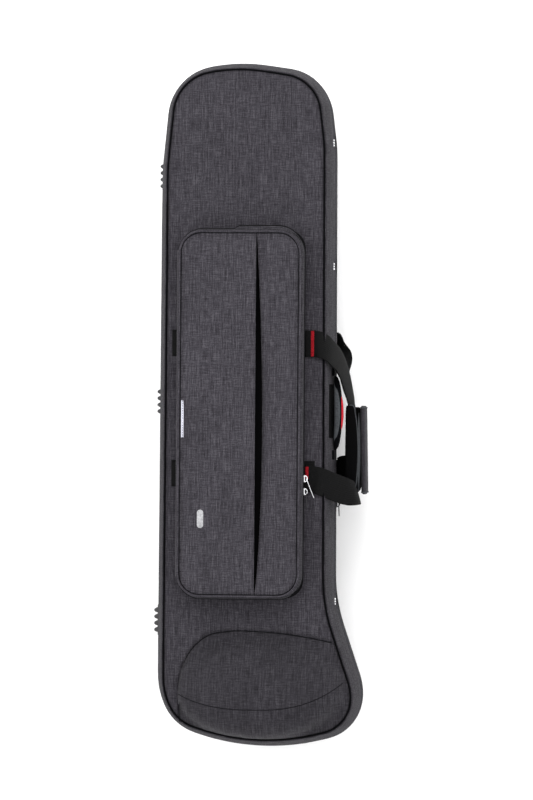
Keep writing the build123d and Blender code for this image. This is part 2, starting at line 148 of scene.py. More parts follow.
# ---- materials ---------------------------------------------------------------
class Nodes:
    """Short way to wire a material's nodes."""

    def __init__(self, name):
        self.material = bpy.data.materials.new(name)
        self.material.use_nodes = True
        self.tree = self.material.node_tree
        self.shader = self.tree.nodes["Principled BSDF"]

    def add(self, kind, links=None, **settings):
        node = self.tree.nodes.new(kind)
        for key, value in settings.items():
            setattr(node, key, value)
        for key, value in (links or {}).items():
            socket = node.inputs[key]
            if isinstance(value, bpy.types.NodeSocket):
                self.tree.links.new(value, socket)
            else:
                socket.default_value = value
        return node

    def uv(self, scale):
        source = self.add("ShaderNodeTexCoord").outputs["UV"]
        return self.add("ShaderNodeMapping", {"Vector": source, "Scale": scale}).outputs["Vector"]

    def solid(self, scale):
        source = self.add("ShaderNodeTexCoord").outputs["Object"]
        return self.add("ShaderNodeMapping", {"Vector": source, "Scale": scale}).outputs["Vector"]

    def noise(self, vector, detail=2.0, rough=0.5, size=1.0):
        settings = {"Vector": vector, "Scale": size, "Detail": detail, "Roughness": rough}
        return self.add("ShaderNodeTexNoise", settings).outputs["Fac"]

    def math(self, operation, a, b=0.0, c=0.0):
        return self.add("ShaderNodeMath", {0: a, 1: b, 2: c}, operation=operation).outputs[0]

    def ramp(self, value, stops):
        node = self.add("ShaderNodeValToRGB", {"Fac": value})
        elements = node.color_ramp.elements
        while len(elements) < len(stops):
            elements.new(0.5)
        for element, (place, colour) in zip(elements, stops):
            element.position = place
            element.color = (*colour, 1)
        return node.outputs["Color"]

    def multiply(self, colour, factor):
        node = self.add("ShaderNodeMix", {"Factor": 1.0, 6: colour, 7: factor}, data_type="RGBA")
        node.blend_type = "MULTIPLY"
        return node.outputs[2]

    def bump(self, height, strength, distance):
        settings = {"Height": height, "Strength": strength, "Distance": distance}
        self.link("Normal", self.add("ShaderNodeBump", settings).outputs["Normal"])

    def link(self, name, output):
        self.tree.links.new(output, self.shader.inputs[name])

    def set(self, **values):
        for key, value in values.items():
            self.shader.inputs[key.replace("_", " ")].default_value = value


def weave_height(nodes, vector):
    """Plain weave: threads over and under, one unit of the vector to a thread pair."""
    parts = nodes.add("ShaderNodeSeparateXYZ", {"Vector": vector})
    across = nodes.math("SINE", nodes.math("MULTIPLY", parts.outputs["X"], 2 * math.pi))
    along = nodes.math("SINE", nodes.math("MULTIPLY", parts.outputs["Y"], 2 * math.pi))
    return nodes.math("MULTIPLY", across, along)


def melange(name, level, contrast=1.0):
    """Heathered cloth: short slub dashes both ways and flecks over a fine plain weave."""
    nodes = Nodes(name)
    warp = nodes.noise(nodes.uv((820, 52, 1)), 3, 0.6)
    weft = nodes.noise(nodes.uv((64, 820, 1)), 3, 0.6)
    fleck = nodes.noise(nodes.uv((560, 480, 1)), 2, 0.65)
    slub = nodes.noise(nodes.uv((430, 11, 1)), 2, 0.5)
    cloud = nodes.noise(nodes.uv((14, 9, 1)), 2, 0.5)
    mix = nodes.math("MULTIPLY_ADD", warp, 0.38, nodes.math("MULTIPLY", weft, 0.30))
    mix = nodes.math("MULTIPLY_ADD", fleck, 0.18, mix)
    mix = nodes.math("MULTIPLY_ADD", slub, 0.14, mix)
    spread = 0.10 / contrast
    dark = (level * 0.42, level * 0.38, level * 0.47)
    middle = (level * 1.0, level * 0.92, level * 1.12)
    light = (level * 2.0, level * 1.88, level * 2.16)
    colour = nodes.ramp(mix, ((0.5 - spread, dark), (0.5, middle), (0.5 + spread, light)))
    shade = nodes.ramp(cloud, ((0.3, (0.92, 0.92, 0.92)), (0.7, (1.06, 1.06, 1.06))))
    nodes.link("Base Color", nodes.multiply(colour, shade))
    weave = weave_height(nodes, nodes.uv((900, 900, 1)))
    height = nodes.math("MULTIPLY_ADD", mix, 1.6, nodes.math("MULTIPLY", weave, 0.25))
    nodes.bump(height, 0.5, 0.0006)
    nodes.set(Roughness=0.9, Sheen_Weight=0.02, Sheen_Roughness=0.45, Specular_IOR_Level=0.12)
    return nodes.material


def webbing_material(name, level, pitch=0.0016):
    """Ribbed webbing: rows across the width, broken into picks along it."""
    nodes = Nodes(name)
    scale = 1 / pitch
    vector = nodes.uv((scale * 0.55, scale, 1))
    weave = weave_height(nodes, vector)
    parts = nodes.add("ShaderNodeSeparateXYZ", {"Vector": nodes.uv((scale, scale, 1))})
    rib = nodes.math("SINE", nodes.math("MULTIPLY", parts.outputs["Y"], 2 * math.pi))
    height = nodes.math("MULTIPLY_ADD", weave, 0.7, nodes.math("MULTIPLY", rib, 0.5))
    fuzz = nodes.noise(nodes.uv((900, 300, 1)), 3, 0.6)
    # Colour rises with the weave and rib height: painted shade in the thread valleys, on top of random
    # fuzz.
    mix = nodes.math("MULTIPLY_ADD", height, 0.12, fuzz)
    low = (level * 0.55, level * 0.55, level * 0.57)
    high = (level * 1.5, level * 1.5, level * 1.56)
    nodes.link("Base Color", nodes.ramp(mix, ((0.3, low), (0.75, high))))
    nodes.bump(height, 0.55, 0.0004)
    nodes.set(Roughness=0.72, Sheen_Weight=0.005, Sheen_Roughness=0.4, Specular_IOR_Level=0.07)
    return nodes.material


def plain_cloth(name, colour, thread=1500.0, rough=0.9, bump=0.35):
    """Plain or knitted cloth of one colour, with thread texture and slight mottling."""
    nodes = Nodes(name)
    weave = weave_height(nodes, nodes.uv((thread, thread, 1)))
    fuzz = nodes.noise(nodes.solid((420, 420, 420)), 3, 0.6)
    mottle = nodes.noise(nodes.solid((24, 24, 24)), 2, 0.5)
    # The weave term lightens thread crowns and darkens the gaps between them: painted shade, on top of
    # random fuzz and mottling.
    mix = nodes.math("MULTIPLY_ADD", weave, 0.06, nodes.math("MULTIPLY_ADD", mottle, 0.4, fuzz))
    low = tuple(0.68 * c for c in colour)
    high = tuple(1.4 * c for c in colour)
    nodes.link("Base Color", nodes.ramp(mix, ((0.45, low), (0.95, high))))
    nodes.bump(nodes.math("MULTIPLY_ADD", weave, 0.5, fuzz), bump, 0.0004)
    nodes.set(Roughness=rough, Specular_IOR_Level=0.04)
    return nodes.material


def plush(name, colour):
    nodes = Nodes(name)
    pile = nodes.noise(nodes.solid((700, 700, 700)), 4, 0.7)
    patch = nodes.noise(nodes.solid((18, 18, 30)), 2, 0.5)
    mix = nodes.math("MULTIPLY_ADD", patch, 0.6, nodes.math("MULTIPLY", pile, 0.6))
    low = tuple(0.5 * c for c in colour)
    high = tuple(1.7 * c for c in colour)
    nodes.link("Base Color", nodes.ramp(mix, ((0.4, low), (0.8, high))))
    nodes.bump(pile, 0.8, 0.0012)
    nodes.set(Roughness=0.95, Sheen_Weight=0.15, Sheen_Roughness=0.3, Specular_IOR_Level=0.1)
    return nodes.material


def rubber(name):
    nodes = Nodes(name)
    grain = nodes.noise(nodes.solid((900, 900, 900)), 3, 0.6)
    smear = nodes.noise(nodes.solid((40, 40, 40)), 2, 0.5)
    stops = ((0.3, (0.009, 0.009, 0.010)), (0.7, (0.020, 0.020, 0.021)))
    nodes.link("Base Color", nodes.ramp(smear, stops))
    nodes.link("Roughness", nodes.math("MULTIPLY_ADD", smear, 0.25, 0.45))
    nodes.bump(grain, 0.25, 0.0003)
    return nodes.material


def metal(name, colour, rough):
    """Plated metal with fine scuffs."""
    nodes = Nodes(name)
    scuff = nodes.noise(nodes.solid((500, 500, 500)), 3, 0.6)
    wear = nodes.noise(nodes.solid((90, 90, 90)), 2, 0.5)
    low = tuple(0.8 * c for c in colour)
    high = tuple(min(1.0, 1.15 * c) for c in colour)
    nodes.link("Base Color", nodes.ramp(wear, ((0.3, low), (0.7, high))))
    nodes.link("Roughness", nodes.math("MULTIPLY_ADD", scuff, 0.25, rough))
    nodes.bump(scuff, 0.08, 0.0002)
    nodes.set(Metallic=1.0)
    return nodes.material


def foam(name):
    nodes = Nodes(name)
    cells = nodes.noise(nodes.solid((1200, 1200, 1200)), 3, 0.7)
    nodes.link("Base Color", nodes.ramp(cells, ((0.3, (0.05, 0.05, 0.055)), (0.7, (0.09, 0.09, 0.095)))))
    nodes.bump(cells, 0.5, 0.0005)
    nodes.set(Roughness=0.95, Specular_IOR_Level=0.2)
    return nodes.material


def reflective(name):
    nodes = Nodes(name)
    beads = nodes.add("ShaderNodeTexVoronoi", {"Vector": nodes.solid((1400, 1400, 1400)), "Scale": 1.0})
    stops = ((0.1, (0.62, 0.62, 0.7)), (0.8, (0.4, 0.4, 0.47)))
    nodes.link("Base Color", nodes.ramp(beads.outputs["Distance"], stops))
    nodes.bump(beads.outputs["Distance"], 0.2, 0.0002)
    nodes.set(Roughness=0.38, Specular_IOR_Level=0.6)
    return nodes.material


COVER = melange("cover_cloth", 0.030)
# Same melange as the cover, set darker: painted shade on the bell patch at the lower end, where less light
# falls.
SHADED_BELL_CLOTH = melange("bell_cloth", 0.021)
# Same melange as the cover, set darker: painted shade for the side walls, spine strip and pocket gussets,
# which face away from the light.
SHADED_SIDE_CLOTH = melange("side_cloth", 0.022, 1.3)
POCKET = melange("pocket_cloth", 0.033)
LEAF_CLOTH = melange("wrap_cloth", 0.021)
TRIM = plain_cloth("black_piping", (0.0016, 0.0016, 0.0021))
PADDING = plain_cloth("black_padding", (0.0012, 0.0012, 0.0014), thread=1100.0, bump=0.25)
TAPE = plain_cloth("zipper_tape", (0.005, 0.005, 0.0055), thread=1300.0)
GREY_EDGE = plain_cloth("grey_binding", (0.045, 0.048, 0.052), thread=1200.0)
COIL = rubber("zipper_coil")
WEBBING = webbing_material("webbing", 0.0035)
SEAM = plain_cloth("seam_thread", (0.005, 0.005, 0.006), thread=2500.0)
THREAD_GREY = plain_cloth("grey_thread", (0.040, 0.037, 0.042), thread=2500.0)
RED = plain_cloth("red_thread", (0.26, 0.010, 0.016), thread=2500.0, bump=0.6)
RED_LINING = plain_cloth("red_lining", (0.42, 0.020, 0.030), thread=1300.0)
RUBBER = rubber("foot_rubber")
BRIGHT = metal("bright_metal", (0.72, 0.72, 0.74), 0.18)
DARK_METAL = metal("dark_metal", (0.04, 0.04, 0.043), 0.35)
# Slip-pocket lining, dark in itself and set near-black beyond that: painted shadow inside the slip opening.
SLIT_SHADOW_LINING = plain_cloth("slip_lining", (0.0006, 0.0006, 0.0008))
FOAM = foam("foam")
PLUSH = plush("plush", (0.022, 0.022, 0.026))
REFLECTIVE = reflective("reflective_strip")
BADGE = plain_cloth("badge_print", (0.30, 0.30, 0.31), thread=1500.0, rough=0.5)


# ---- mesh helpers ------------------------------------------------------------
def inset_corners(inset):
    """Corners and radii of the zipper-line outline moved inwards."""
    corners = []
    for i, (x1, y1, radius) in enumerate(OUTLINE):
        x0, y0, _ = OUTLINE[i - 1]
        x2, y2, _ = OUTLINE[(i + 1) % len(OUTLINE)]
        before = Vector((x1 - x0, y1 - y0)).normalized()
        after = Vector((x2 - x1, y2 - y1)).normalized()
        turn = math.asin(before.x * after.y - before.y * after.x)
        middle = (before + after).normalized()
        shift = Vector((middle.y, -middle.x)) * (inset / math.cos(turn / 2))
        corners.append((Vector((x1, y1)) + shift, radius + math.copysign(inset, turn), before, after, turn))
    return corners


def outline_steps(spacing):
    """How many points each arc and each straight of the outline gets."""
    corners = inset_corners(0)
    steps = []
    for i, (point, radius, _, _, turn) in enumerate(corners):
        other, other_radius, _, _, other_turn = corners[(i + 1) % len(corners)]
        arc = radius * abs(turn)
        reach = radius * math.tan(abs(turn) / 2) + other_radius * math.tan(abs(other_turn) / 2)
        straight = max(0.0, (other - point).length - reach)
        steps.append((max(4, math.ceil(arc / spacing)), max(1, math.ceil(straight / spacing))))
    return steps


STEPS = outline_steps(0.006)


def outline(inset):
    """Closed loop of points at an inset; every inset has matching points."""
    corners = inset_corners(inset)
    points = []
    ends = []
    for (point, radius, before, _, turn), (arc_steps, _) in zip(corners, STEPS):
        reach = radius * math.tan(abs(turn) / 2)
        start = point - before * reach
        side = math.copysign(1.0, turn)
        centre = start + Vector((-before.y, before.x)) * (radius * side)
        arc = []
        for k in range(arc_steps + 1):
            angle = turn * k / arc_steps
            arm = start - centre
            c, s = math.cos(angle), math.sin(angle)
            arc.append(centre + Vector((c * arm.x - s * arm.y, s * arm.x + c * arm.y)))
        ends.append(arc)
    for i, arc in enumerate(ends):
        points += arc
        target = ends[(i + 1) % len(ends)][0]
        count = STEPS[i][1]
        points += [arc[-1].lerp(target, k / count) for k in range(1, count)]
    return np.array([(p.x, p.y) for p in points])


def lengths_along(loop):
    """Running length at each point of a closed loop."""
    gaps = np.linalg.norm(np.roll(loop, -1, 0) - loop, axis=1)
    return np.concatenate([[0], np.cumsum(gaps)])


def unit_rows(vectors):
    """Every row at length one."""
    return vectors / (np.linalg.norm(vectors, axis=1)[:, None] + 1e-12)


def tangents(path, closed):
    """Direction of a line at each of its points."""
    if closed:
        return unit_rows(np.roll(path, -1, 0) - np.roll(path, 1, 0))
    return unit_rows(np.gradient(path, axis=0))


def at_height(loop, z):
    """Flat points lifted to one height, or to one height each."""
    return np.column_stack([loop, np.full(len(loop), z)])


UP = np.array([0.0, 0.0, 1.0])
ALONG = lengths_along(outline(0))
OUTWARD = unit_rows(outline(0) - outline(0.002))


def draft(z):
    if z <= PARTING:
        return BACK_INSET * (1 - z / PARTING)
    return FRONT_INSET * (z - PARTING) / (FRONT - PARTING)


def new_piece(name, verts, faces, uvs, material, body):
    """Mesh object from points, faces and one uv per point of each face."""
    mesh = bpy.data.meshes.new(name)
    mesh.from_pydata([tuple(v) for v in verts], [], [tuple(f) for f in faces])
    layer = mesh.uv_layers.new(name="UVMap")
    flat = np.array([uv for face in uvs for uv in face], dtype=np.float32)
    layer.data.foreach_set("uv", flat.ravel())
    mesh.validate()
    mesh.shade_smooth()
    mesh.materials.append(material)
    piece = bpy.data.objects.new(name, mesh)
    bpy.context.scene.collection.objects.link(piece)
    if body:
        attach(piece, body)
    return piece


def grid_piece(name, rows, u, v, material, body, closed=False, caps=False, wrap=False, turned=False):
    """Quads between rows of matching points.

    closed joins each row's ends, wrap joins the last row to the first, and turned swaps u and v.
    """
    rows = np.asarray(rows)
    height, width = rows.shape[:2]
    span = width if closed else width - 1
    verts = rows.reshape(-1, 3)
    faces = []
    uvs = []
    for i in range(height if wrap else height - 1):
        n = (i + 1) % height
        for j in range(span):
            k = (j + 1) % width
            faces.append((i * width + j, i * width + k, n * width + k, n * width + j))
            uv = ((u[i], v[j]), (u[i], v[j + 1]), (u[i + 1], v[j + 1]), (u[i + 1], v[j]))
            uvs.append([(b, a) for a, b in uv] if turned else uv)
    if caps:
        faces.append(tuple(range(width))[::-1])
        uvs.append([(0, 0)] * width)
        faces.append(tuple((height - 1) * width + j for j in range(width)))
        uvs.append([(0, 0)] * width)
    return new_piece(name, verts, faces, uvs, material, body)


def thicken(piece, thickness, offset=-1.0):
    modifier = piece.modifiers.new("thickness", "SOLIDIFY")
    modifier.thickness = thickness
    modifier.offset = offset
    modifier.use_even_offset = True
    return piece


def inside(points, loop):
    """Even-odd test of many points against a closed loop."""
    x, y = points[:, 0][:, None], points[:, 1][:, None]
    x0, y0 = loop[:, 0], loop[:, 1]
    x1, y1 = np.roll(x0, -1), np.roll(y0, -1)
    crosses = (y0 > y) != (y1 > y)
    slope = np.where(y1 == y0, 1.0, y1 - y0)
    hit = x < (x1 - x0) * (y - y0) / slope + x0
    return (np.sum(crosses & hit, axis=1) % 2) == 1


def edge_distance(points, loop, closed=True):
    """Distance from each point to a loop or an open line."""
    start = loop if closed else loop[:-1]
    end = np.roll(loop, -1, 0) if closed else loop[1:]
    along = end - start
    squared = (along ** 2).sum(1) + 1e-12
    best = np.full(len(points), 1e9)
    for i in range(0, len(points), 2000):
        part = points[i : i + 2000, None, :] - start[None]
        t = np.clip((part * along[None]).sum(2) / squared, 0, 1)
        gap = part - t[..., None] * along[None]
        best[i : i + 2000] = np.sqrt((gap ** 2).sum(2)).min(1)
    return best


def smooth_heights(piece, rounds):
    """Evens out the steps in a surface, leaving its border alone."""
    mesh = bmesh.new()
    mesh.from_mesh(piece.data)
    inner = [v for v in mesh.verts if not v.is_boundary]
    for _ in range(rounds):
        bmesh.ops.smooth_vert(
            mesh, verts=inner, factor=0.5, use_axis_x=False, use_axis_y=False, use_axis_z=True)
    mesh.to_mesh(piece.data)
    mesh.free()


def panel(name, loop, height, material, body, spacing=0.006, thickness=0.0015, flip=False, smoothing=0):
    """Cloth panel that fills a loop, with z from a function of x, y."""
    loop = np.asarray(loop)
    low, high = loop.min(0), loop.max(0)
    rows = np.arange(low[1], high[1], spacing * 0.87)
    points = []
    for i, y in enumerate(rows):
        xs = np.arange(low[0] + (i % 2) * spacing / 2, high[0], spacing)
        points.append(np.column_stack([xs, np.full(len(xs), y)]))
    points = np.vstack(points)
    points = points[inside(points, loop)]
    points = points[edge_distance(points, loop) > spacing * 0.5]
    every = np.vstack([loop, points])
    ring = list(range(len(loop)))
    plane = [Vector((p[0], p[1])) for p in every]
    out, _, faces, *_ = geometry.delaunay_2d_cdt(plane, [], [ring], 1, 1e-7)
    flat = np.array([(p.x, p.y) for p in out])
    z = height(flat)
    verts = np.column_stack([flat, z])
    turned = []
    for face in faces:
        a, b, c = (flat[i] for i in face[:3])
        ccw = (b[0] - a[0]) * (c[1] - a[1]) - (b[1] - a[1]) * (c[0] - a[0]) > 0
        turned.append(tuple(face) if ccw != flip else tuple(face)[::-1])
    uvs = [[tuple(flat[i]) for i in face] for face in turned]
    piece = new_piece(name, verts, turned, uvs, material, body)
    if smoothing:
        smooth_heights(piece, smoothing)
    return thicken(piece, thickness)


def tube(name, path, radius, material, body, closed=True, sides=10):
    """Cord of round section along a list of points."""
    path = np.asarray(path, dtype=float)
    tangent = tangents(path, closed)
    up = np.tile(UP, (len(path), 1))
    steep = np.abs(tangent[:, 2]) > 0.95
    up[steep] = (1.0, 0.0, 0.0)
    side = unit_rows(np.cross(tangent, up))
    up = np.cross(side, tangent)
    rows = []
    for k in range(sides):
        angle = 2 * math.pi * k / sides
        rows.append(path + radius * (math.cos(angle) * side + math.sin(angle) * up))
    rows = np.transpose(np.array(rows), (1, 0, 2))
    step = np.linalg.norm(np.diff(np.vstack([path, path[:1]]), axis=0), axis=1)
    run = np.concatenate([[0], np.cumsum(step)])
    around = np.arange(sides + 1) * (2 * math.pi * radius / sides)
    return grid_piece(name, rows, run, around, material, body, closed=True, caps=not closed, wrap=closed,
                      turned=True)


def smooth_line(points, per_span=10):
    """Catmull-Rom line through points of any dimension."""
    points = [np.asarray(p, dtype=float) for p in points]
    ends = [2 * points[0] - points[1]] + points + [2 * points[-1] - points[-2]]
    out = []
    for i in range(1, len(ends) - 2):
        p0, p1, p2, p3 = ends[i - 1 : i + 3]
        for k in range(per_span):
            t = k / per_span
            out.append(0.5 * (2 * p1 + (p2 - p0) * t + (2 * p0 - 5 * p1 + 4 * p2 - p3) * t ** 2
                              + (3 * p1 - p0 - 3 * p2 + p3) * t ** 3))
    out.append(points[-1])
    return np.array(out)


def resample(path, spacing, closed=False):
    """Points at even spacing along a line."""
    path = np.asarray(path, dtype=float)
    if closed:
        path = np.vstack([path, path[:1]])
    step = np.linalg.norm(np.diff(path, axis=0), axis=1)
    run = np.concatenate([[0], np.cumsum(step)])
    count = max(2, int(round(run[-1] / spacing)))
    places = np.linspace(0, run[-1], count + 1)
    if closed:
        places = places[:-1]
    return np.column_stack([np.interp(places, run, path[:, i]) for i in range(path.shape[1])])


def blocks(name, places, tangents, outs, size, material, body, taper=0.8):
    """Many small rounded bars: one at each place, long along 'outs'."""
    verts = []
    faces = []
    uvs = []
    half = np.array(size) / 2
    ring = ((-1, -1), (1, -1), (1, 1), (-1, 1))
    for place, tangent, out in zip(places, tangents, outs):
        third = np.cross(tangent, out)
        base = len(verts)
        for level, scale in ((-1, taper), (-0.6, 1), (0.6, 1), (1, taper)):
            for a, b in ring:
                verts.append(place + out * (level * half[0]) + tangent * (a * half[1] * scale)
                             + third * (b * half[2] * scale))
        for level in range(3):
            for k in range(4):
                m = (k + 1) % 4
                faces.append((base + level * 4 + k, base + level * 4 + m,
                              base + level * 4 + 4 + m, base + level * 4 + 4 + k))
        faces.append((base + 3, base + 2, base + 1, base))
        faces.append((base + 12, base + 13, base + 14, base + 15))
        uvs += [[(0, 0), (0.001, 0), (0.001, 0.001), (0, 0.001)]] * 14
    return new_piece(name, verts, faces, uvs, material, body)


def stitches(name, path, material, body, pitch=0.0034, radius=0.00035, closed=False):
    """Row of short thread stitches lying on a surface line."""
    places = resample(path, pitch, closed)
    tangent = tangents(places, closed)
    other = unit_rows(np.cross(tangent, UP))
    places = places + 0.0002 * UP
    size = (pitch * 0.74, radius * 2, radius * 2)
    return blocks(name, places, other, tangent, size, material, body, taper=0.5)


# ---- the two halves' covers --------------------------------------------------
def wall_rows(profile, dimple=None):
    """Rows of the side wall: profile gives height and outward swell."""
    rows = []
    for z, swell in profile:
        loop = outline(draft(z) - swell)
        if dimple is not None:
            loop = loop - OUTWARD * dimple(loop, z)[:, None]
        rows.append(at_height(loop, z))
    return rows


def handle_flat(y, z):
    """The wall is drawn flatter behind the small handle."""
    return 0.0020 * np.exp(-((y + 0.008) / 0.052) ** 6) * math.exp(-((z - 0.132) / 0.024) ** 4)


def stud_dimple(loop, z):
    """The padded wall is pulled in around each stud, and along a faint valley."""
    depth = np.zeros(len(loop))
    on_side = loop[:, 0] > 0.09
    valley = math.exp(-((z - STUD_Z) / 0.006) ** 2)
    depth += 0.0012 * valley * on_side
    depth += handle_flat(loop[:, 1], z) * on_side
    for _, y in STUDS:
        gap = np.hypot(loop[:, 1] - y, z - STUD_Z)
        depth += 0.0022 * np.exp(-(gap / 0.011) ** 2) * on_side
    return depth


def lid_swell(z):
    """How far the lid's padded wall stands out from its straight draft."""
    t = (z - PARTING - 0.0042) / (FRONT - PARTING - 0.0054)
    ridge = 0.0010 * math.exp(-((t - 0.08) / 0.08) ** 2)
    return ridge + 0.0022 * math.sin(math.pi * min(1.0, max(0.0, t))) ** 0.7 - 0.0004


def side_walls():
    low, high = PARTING + 0.0042, FRONT - 0.0012
    profile = [(z, lid_swell(z)) for z in np.linspace(low, high, 19)]
    rows = wall_rows(profile, stud_dimple)
    # Side walls in the darker side cloth: painted shade.
    lid = grid_piece("lid_side_cloth", rows, [z for z, _ in profile], ALONG, SHADED_SIDE_CLOTH, "lid", closed=True)
    thicken(lid, 0.0012)
    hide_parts("lid_side_cover")
    low, high = 0.0022, PARTING - 0.0042
    profile = [(low + (high - low) * t, 0.0026 * math.sin(math.pi * t) ** 0.7 - 0.0005)
               for t in np.linspace(0, 1, 17)]
    rows = wall_rows(profile)
    heights = [z for z, _ in profile]
    # Painted shade: the darker side cloth here too.
    base = grid_piece("base_side_cloth", rows, heights, ALONG, SHADED_SIDE_CLOTH, "base", closed=True)
    thicken(base, 0.0012)
    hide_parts("base_side_cover")


def ripple(points, seed, length, amount):
    """Gentle unevenness from a few crossed waves."""
    rng = random.Random(seed)
    total = np.zeros(len(points))
    for _ in range(7):
        angle = rng.uniform(0, math.pi)
        wave = length * rng.uniform(0.7, 1.6)
        phase = rng.uniform(0, 2 * math.pi)
        along = points[:, 0] * math.cos(angle) + points[:, 1] * math.sin(angle)
        total += np.sin(along * 2 * math.pi / wave + phase)
    return amount * total / 2.6


DOME_CENTRE = (0.020, -0.397)
DOME_RADII = (0.1205, 0.0705)
DOME_LEAN = -0.022


def crest_y(x):
    """Seam over the bell: a low curve that climbs further on the right."""
    u = x - 0.018
    rise = np.where(u > 0, 0.0373 * (np.abs(u) / 0.125) ** 2.6, 0.0175 * (np.abs(u) / 0.109) ** 2.6)
    return -0.4253 + rise


def dome_height(points):
    """Height of the bell dome over the flat front: ellipses that shrink as they rise."""
    x, y = points[:, 0] - DOME_CENTRE[0], points[:, 1] - DOME_CENTRE[1]
    height = np.zeros(len(points))
    for rise in np.linspace(0.004, 1, 250):
        shrink = math.sqrt(max(0.0, 1 - rise ** (1 / 0.56)))
        if shrink < 0.01:
            continue
        reach = np.hypot(x / (DOME_RADII[0] * shrink), (y - DOME_LEAN * rise) / (DOME_RADII[1] * shrink))
        height = np.where(reach <= 1, rise, height)
    return (DOME_HIGH - FRONT) * height


def bell_rise(points, seam_gap):
    """The padded patch: it climbs from its seam and carries on into the dome."""
    tent = 0.021 * (1 - np.exp(-(seam_gap / 0.030) ** 1.5))
    dome = dome_height(points)
    blend = 0.010
    return blend * np.log(np.exp(np.minimum(tent / blend, 40)) + np.exp(np.minimum(dome / blend, 40)) - 1)


FRONT_LOOP = outline(draft(FRONT) + 0.0020)


def front_height(points):
    gap = edge_distance(points, FRONT_LOOP)
    roll = -0.0007 * np.exp(-(gap / 0.003) ** 2)
    return FRONT + 0.0006 * (1 - np.exp(-gap / 0.03)) + ripple(points, 3, 0.12, 0.00025) + roll


def patch_seam():
    """Seam where the bell patch meets the front, from its lower left round to the piping."""
    points = ((-0.0915, -0.449), (-0.0915, -0.402), (-0.086, -0.368), (-0.073, -0.344), (-0.052, -0.3265),
              (-0.027, -0.3205), (0.002, -0.319), (0.050, -0.322), (0.090, -0.3275), (0.1235, -0.334))
    return resample(smooth_line(points), 0.004)


def front_edge(first, last):
    """The front's edge, anticlockwise from nearest one place to nearest another."""
    start, end = (int(np.argmin(np.linalg.norm(FRONT_LOOP - place, axis=1))) for place in (first, last))
    count = len(FRONT_LOOP)
    return FRONT_LOOP[[(start + k) % count for k in range((end - start) % count + 1)]]


def patch_loop(seam):
    """The seam closed along the front's edge, through the bell end."""
    return np.vstack([seam[1:-1], front_edge(seam[-1], seam[0])])


def front_loop_above(seam):
    """The rest of the front: its edge outside the patch, closed along the seam."""
    return np.vstack([front_edge(seam[0], seam[-1]), seam[::-1][1:-1]])


def wrinkles(points):
    """Soft creases in the patch where the cloth turns over the bell."""
    x, y = points[:, 0], points[:, 1]
    near = np.exp(-((y + 0.405) / 0.035) ** 2) * np.exp(-((x - 0.055) / 0.075) ** 2)
    wave = np.sin((x * 0.6 + y * 1.2) * 2 * math.pi / 0.021 + 6 * np.sin(x * 40))
    return 0.00035 * near * (wave + ripple(points, 8, 0.03, 1.0))


def on_surface(piece, path, lift):
    """Path laid on a surface from above."""
    tree = BVHTree.FromObject(piece, bpy.context.evaluated_depsgraph_get())
    out = []
    for x, y in path:
        hit = tree.ray_cast(Vector((x, y, 1.0)), Vector((0, 0, -1)))[0]
        if hit is not None:
            out.append((x, y, hit.z + lift))
    return out


def front_cover():
    seam = patch_seam()
    loop = patch_loop(seam)

    def flat_front(points):
        groove = 0.0006 * np.exp(-(edge_distance(points, seam, closed=False) / 0.003) ** 2)
        return front_height(points) - groove

    front = panel("front_cloth", front_loop_above(seam), flat_front, COVER, "lid", spacing=0.006)
    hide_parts("lid_front_panel")
    crest_x = np.linspace(-0.0905, 0.1405, 60)
    crest = np.column_stack([crest_x, crest_y(crest_x)])

    def patch_height(points):
        gap = edge_distance(points, loop)
        crease = -0.0007 * np.exp(-(edge_distance(points, crest, closed=False) / 0.0022) ** 2)
        lift = 0.0011 * (1 - np.exp(-(gap / 0.003) ** 2))
        return front_height(points) + lift + crease + wrinkles(points) + bell_rise(points, gap)

    # The patch takes the darker bell cloth: painted shade.
    patch = panel("bell_patch_cloth", loop, patch_height, SHADED_BELL_CLOTH, "lid", spacing=0.0042,
                  thickness=0.0009, smoothing=3)
    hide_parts("bell_patch")
    middle = loop.mean(0)

    def foam_height(points):
        return patch_height(points) - 0.0060

    core_loop = middle + (loop - middle) * 0.91
    core = panel("bell_foam", core_loop, foam_height, FOAM, "lid", spacing=0.008, thickness=0.006)
    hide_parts("bell_dome")
    seam_path = at_height(seam, front_height(seam) + 0.0003)
    seam_line = tube("patch_seam", seam_path, 0.00055, SEAM, "lid", closed=False, sides=6)
    crest_path = on_surface(patch, crest, 0.0001)
    crest_line = tube("crest_seam", crest_path, 0.0005, SEAM, "lid", closed=False, sides=6)
    outside = seam + np.array([0.0, 0.0036])
    stitch_path = at_height(outside, front_height(outside))
    stitches("patch_stitches", stitch_path, THREAD_GREY, "lid")


def pipings():
    loop = outline(draft(FRONT) + 0.0012)
    path = at_height(loop, FRONT - 0.0002)
    cord = tube("front_piping_cord", path, 0.0012, TRIM, "lid")
    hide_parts("lid_piping")
    loop = outline(draft(0) + 0.0010)
    path = at_height(loop, 0.0020)
    cord = tube("back_piping_cord", path, 0.0019, TRIM, "base")
    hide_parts("back_piping")


def back_panel():
    loop = outline(draft(0) + 0.0032)

    def height(points):
        gap = edge_distance(points, loop)
        return 0.0004 + 0.0014 * np.exp(-(gap / 0.004) ** 2)

    back = panel("back_cloth", loop, height, COVER, "base", spacing=0.008, thickness=0.0015, flip=True)
    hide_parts("back_cover")


# ---- main zipper and spine ---------------------------------------------------
def zipper_band(name, z_low, z_high, swell, material, body, node):
    profile = [(z_low, swell - 0.0008), (z_low + 0.0006, swell),
               (z_high - 0.0006, swell), (z_high, swell - 0.0008)]
    rows = []
    for z, out in profile:
        loop = outline(-out)
        rows.append(at_height(loop, z))
    piece = grid_piece(name, rows, [z for z, _ in profile], ALONG, material, body, closed=True)
    thicken(piece, 0.0012)
    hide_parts(node)


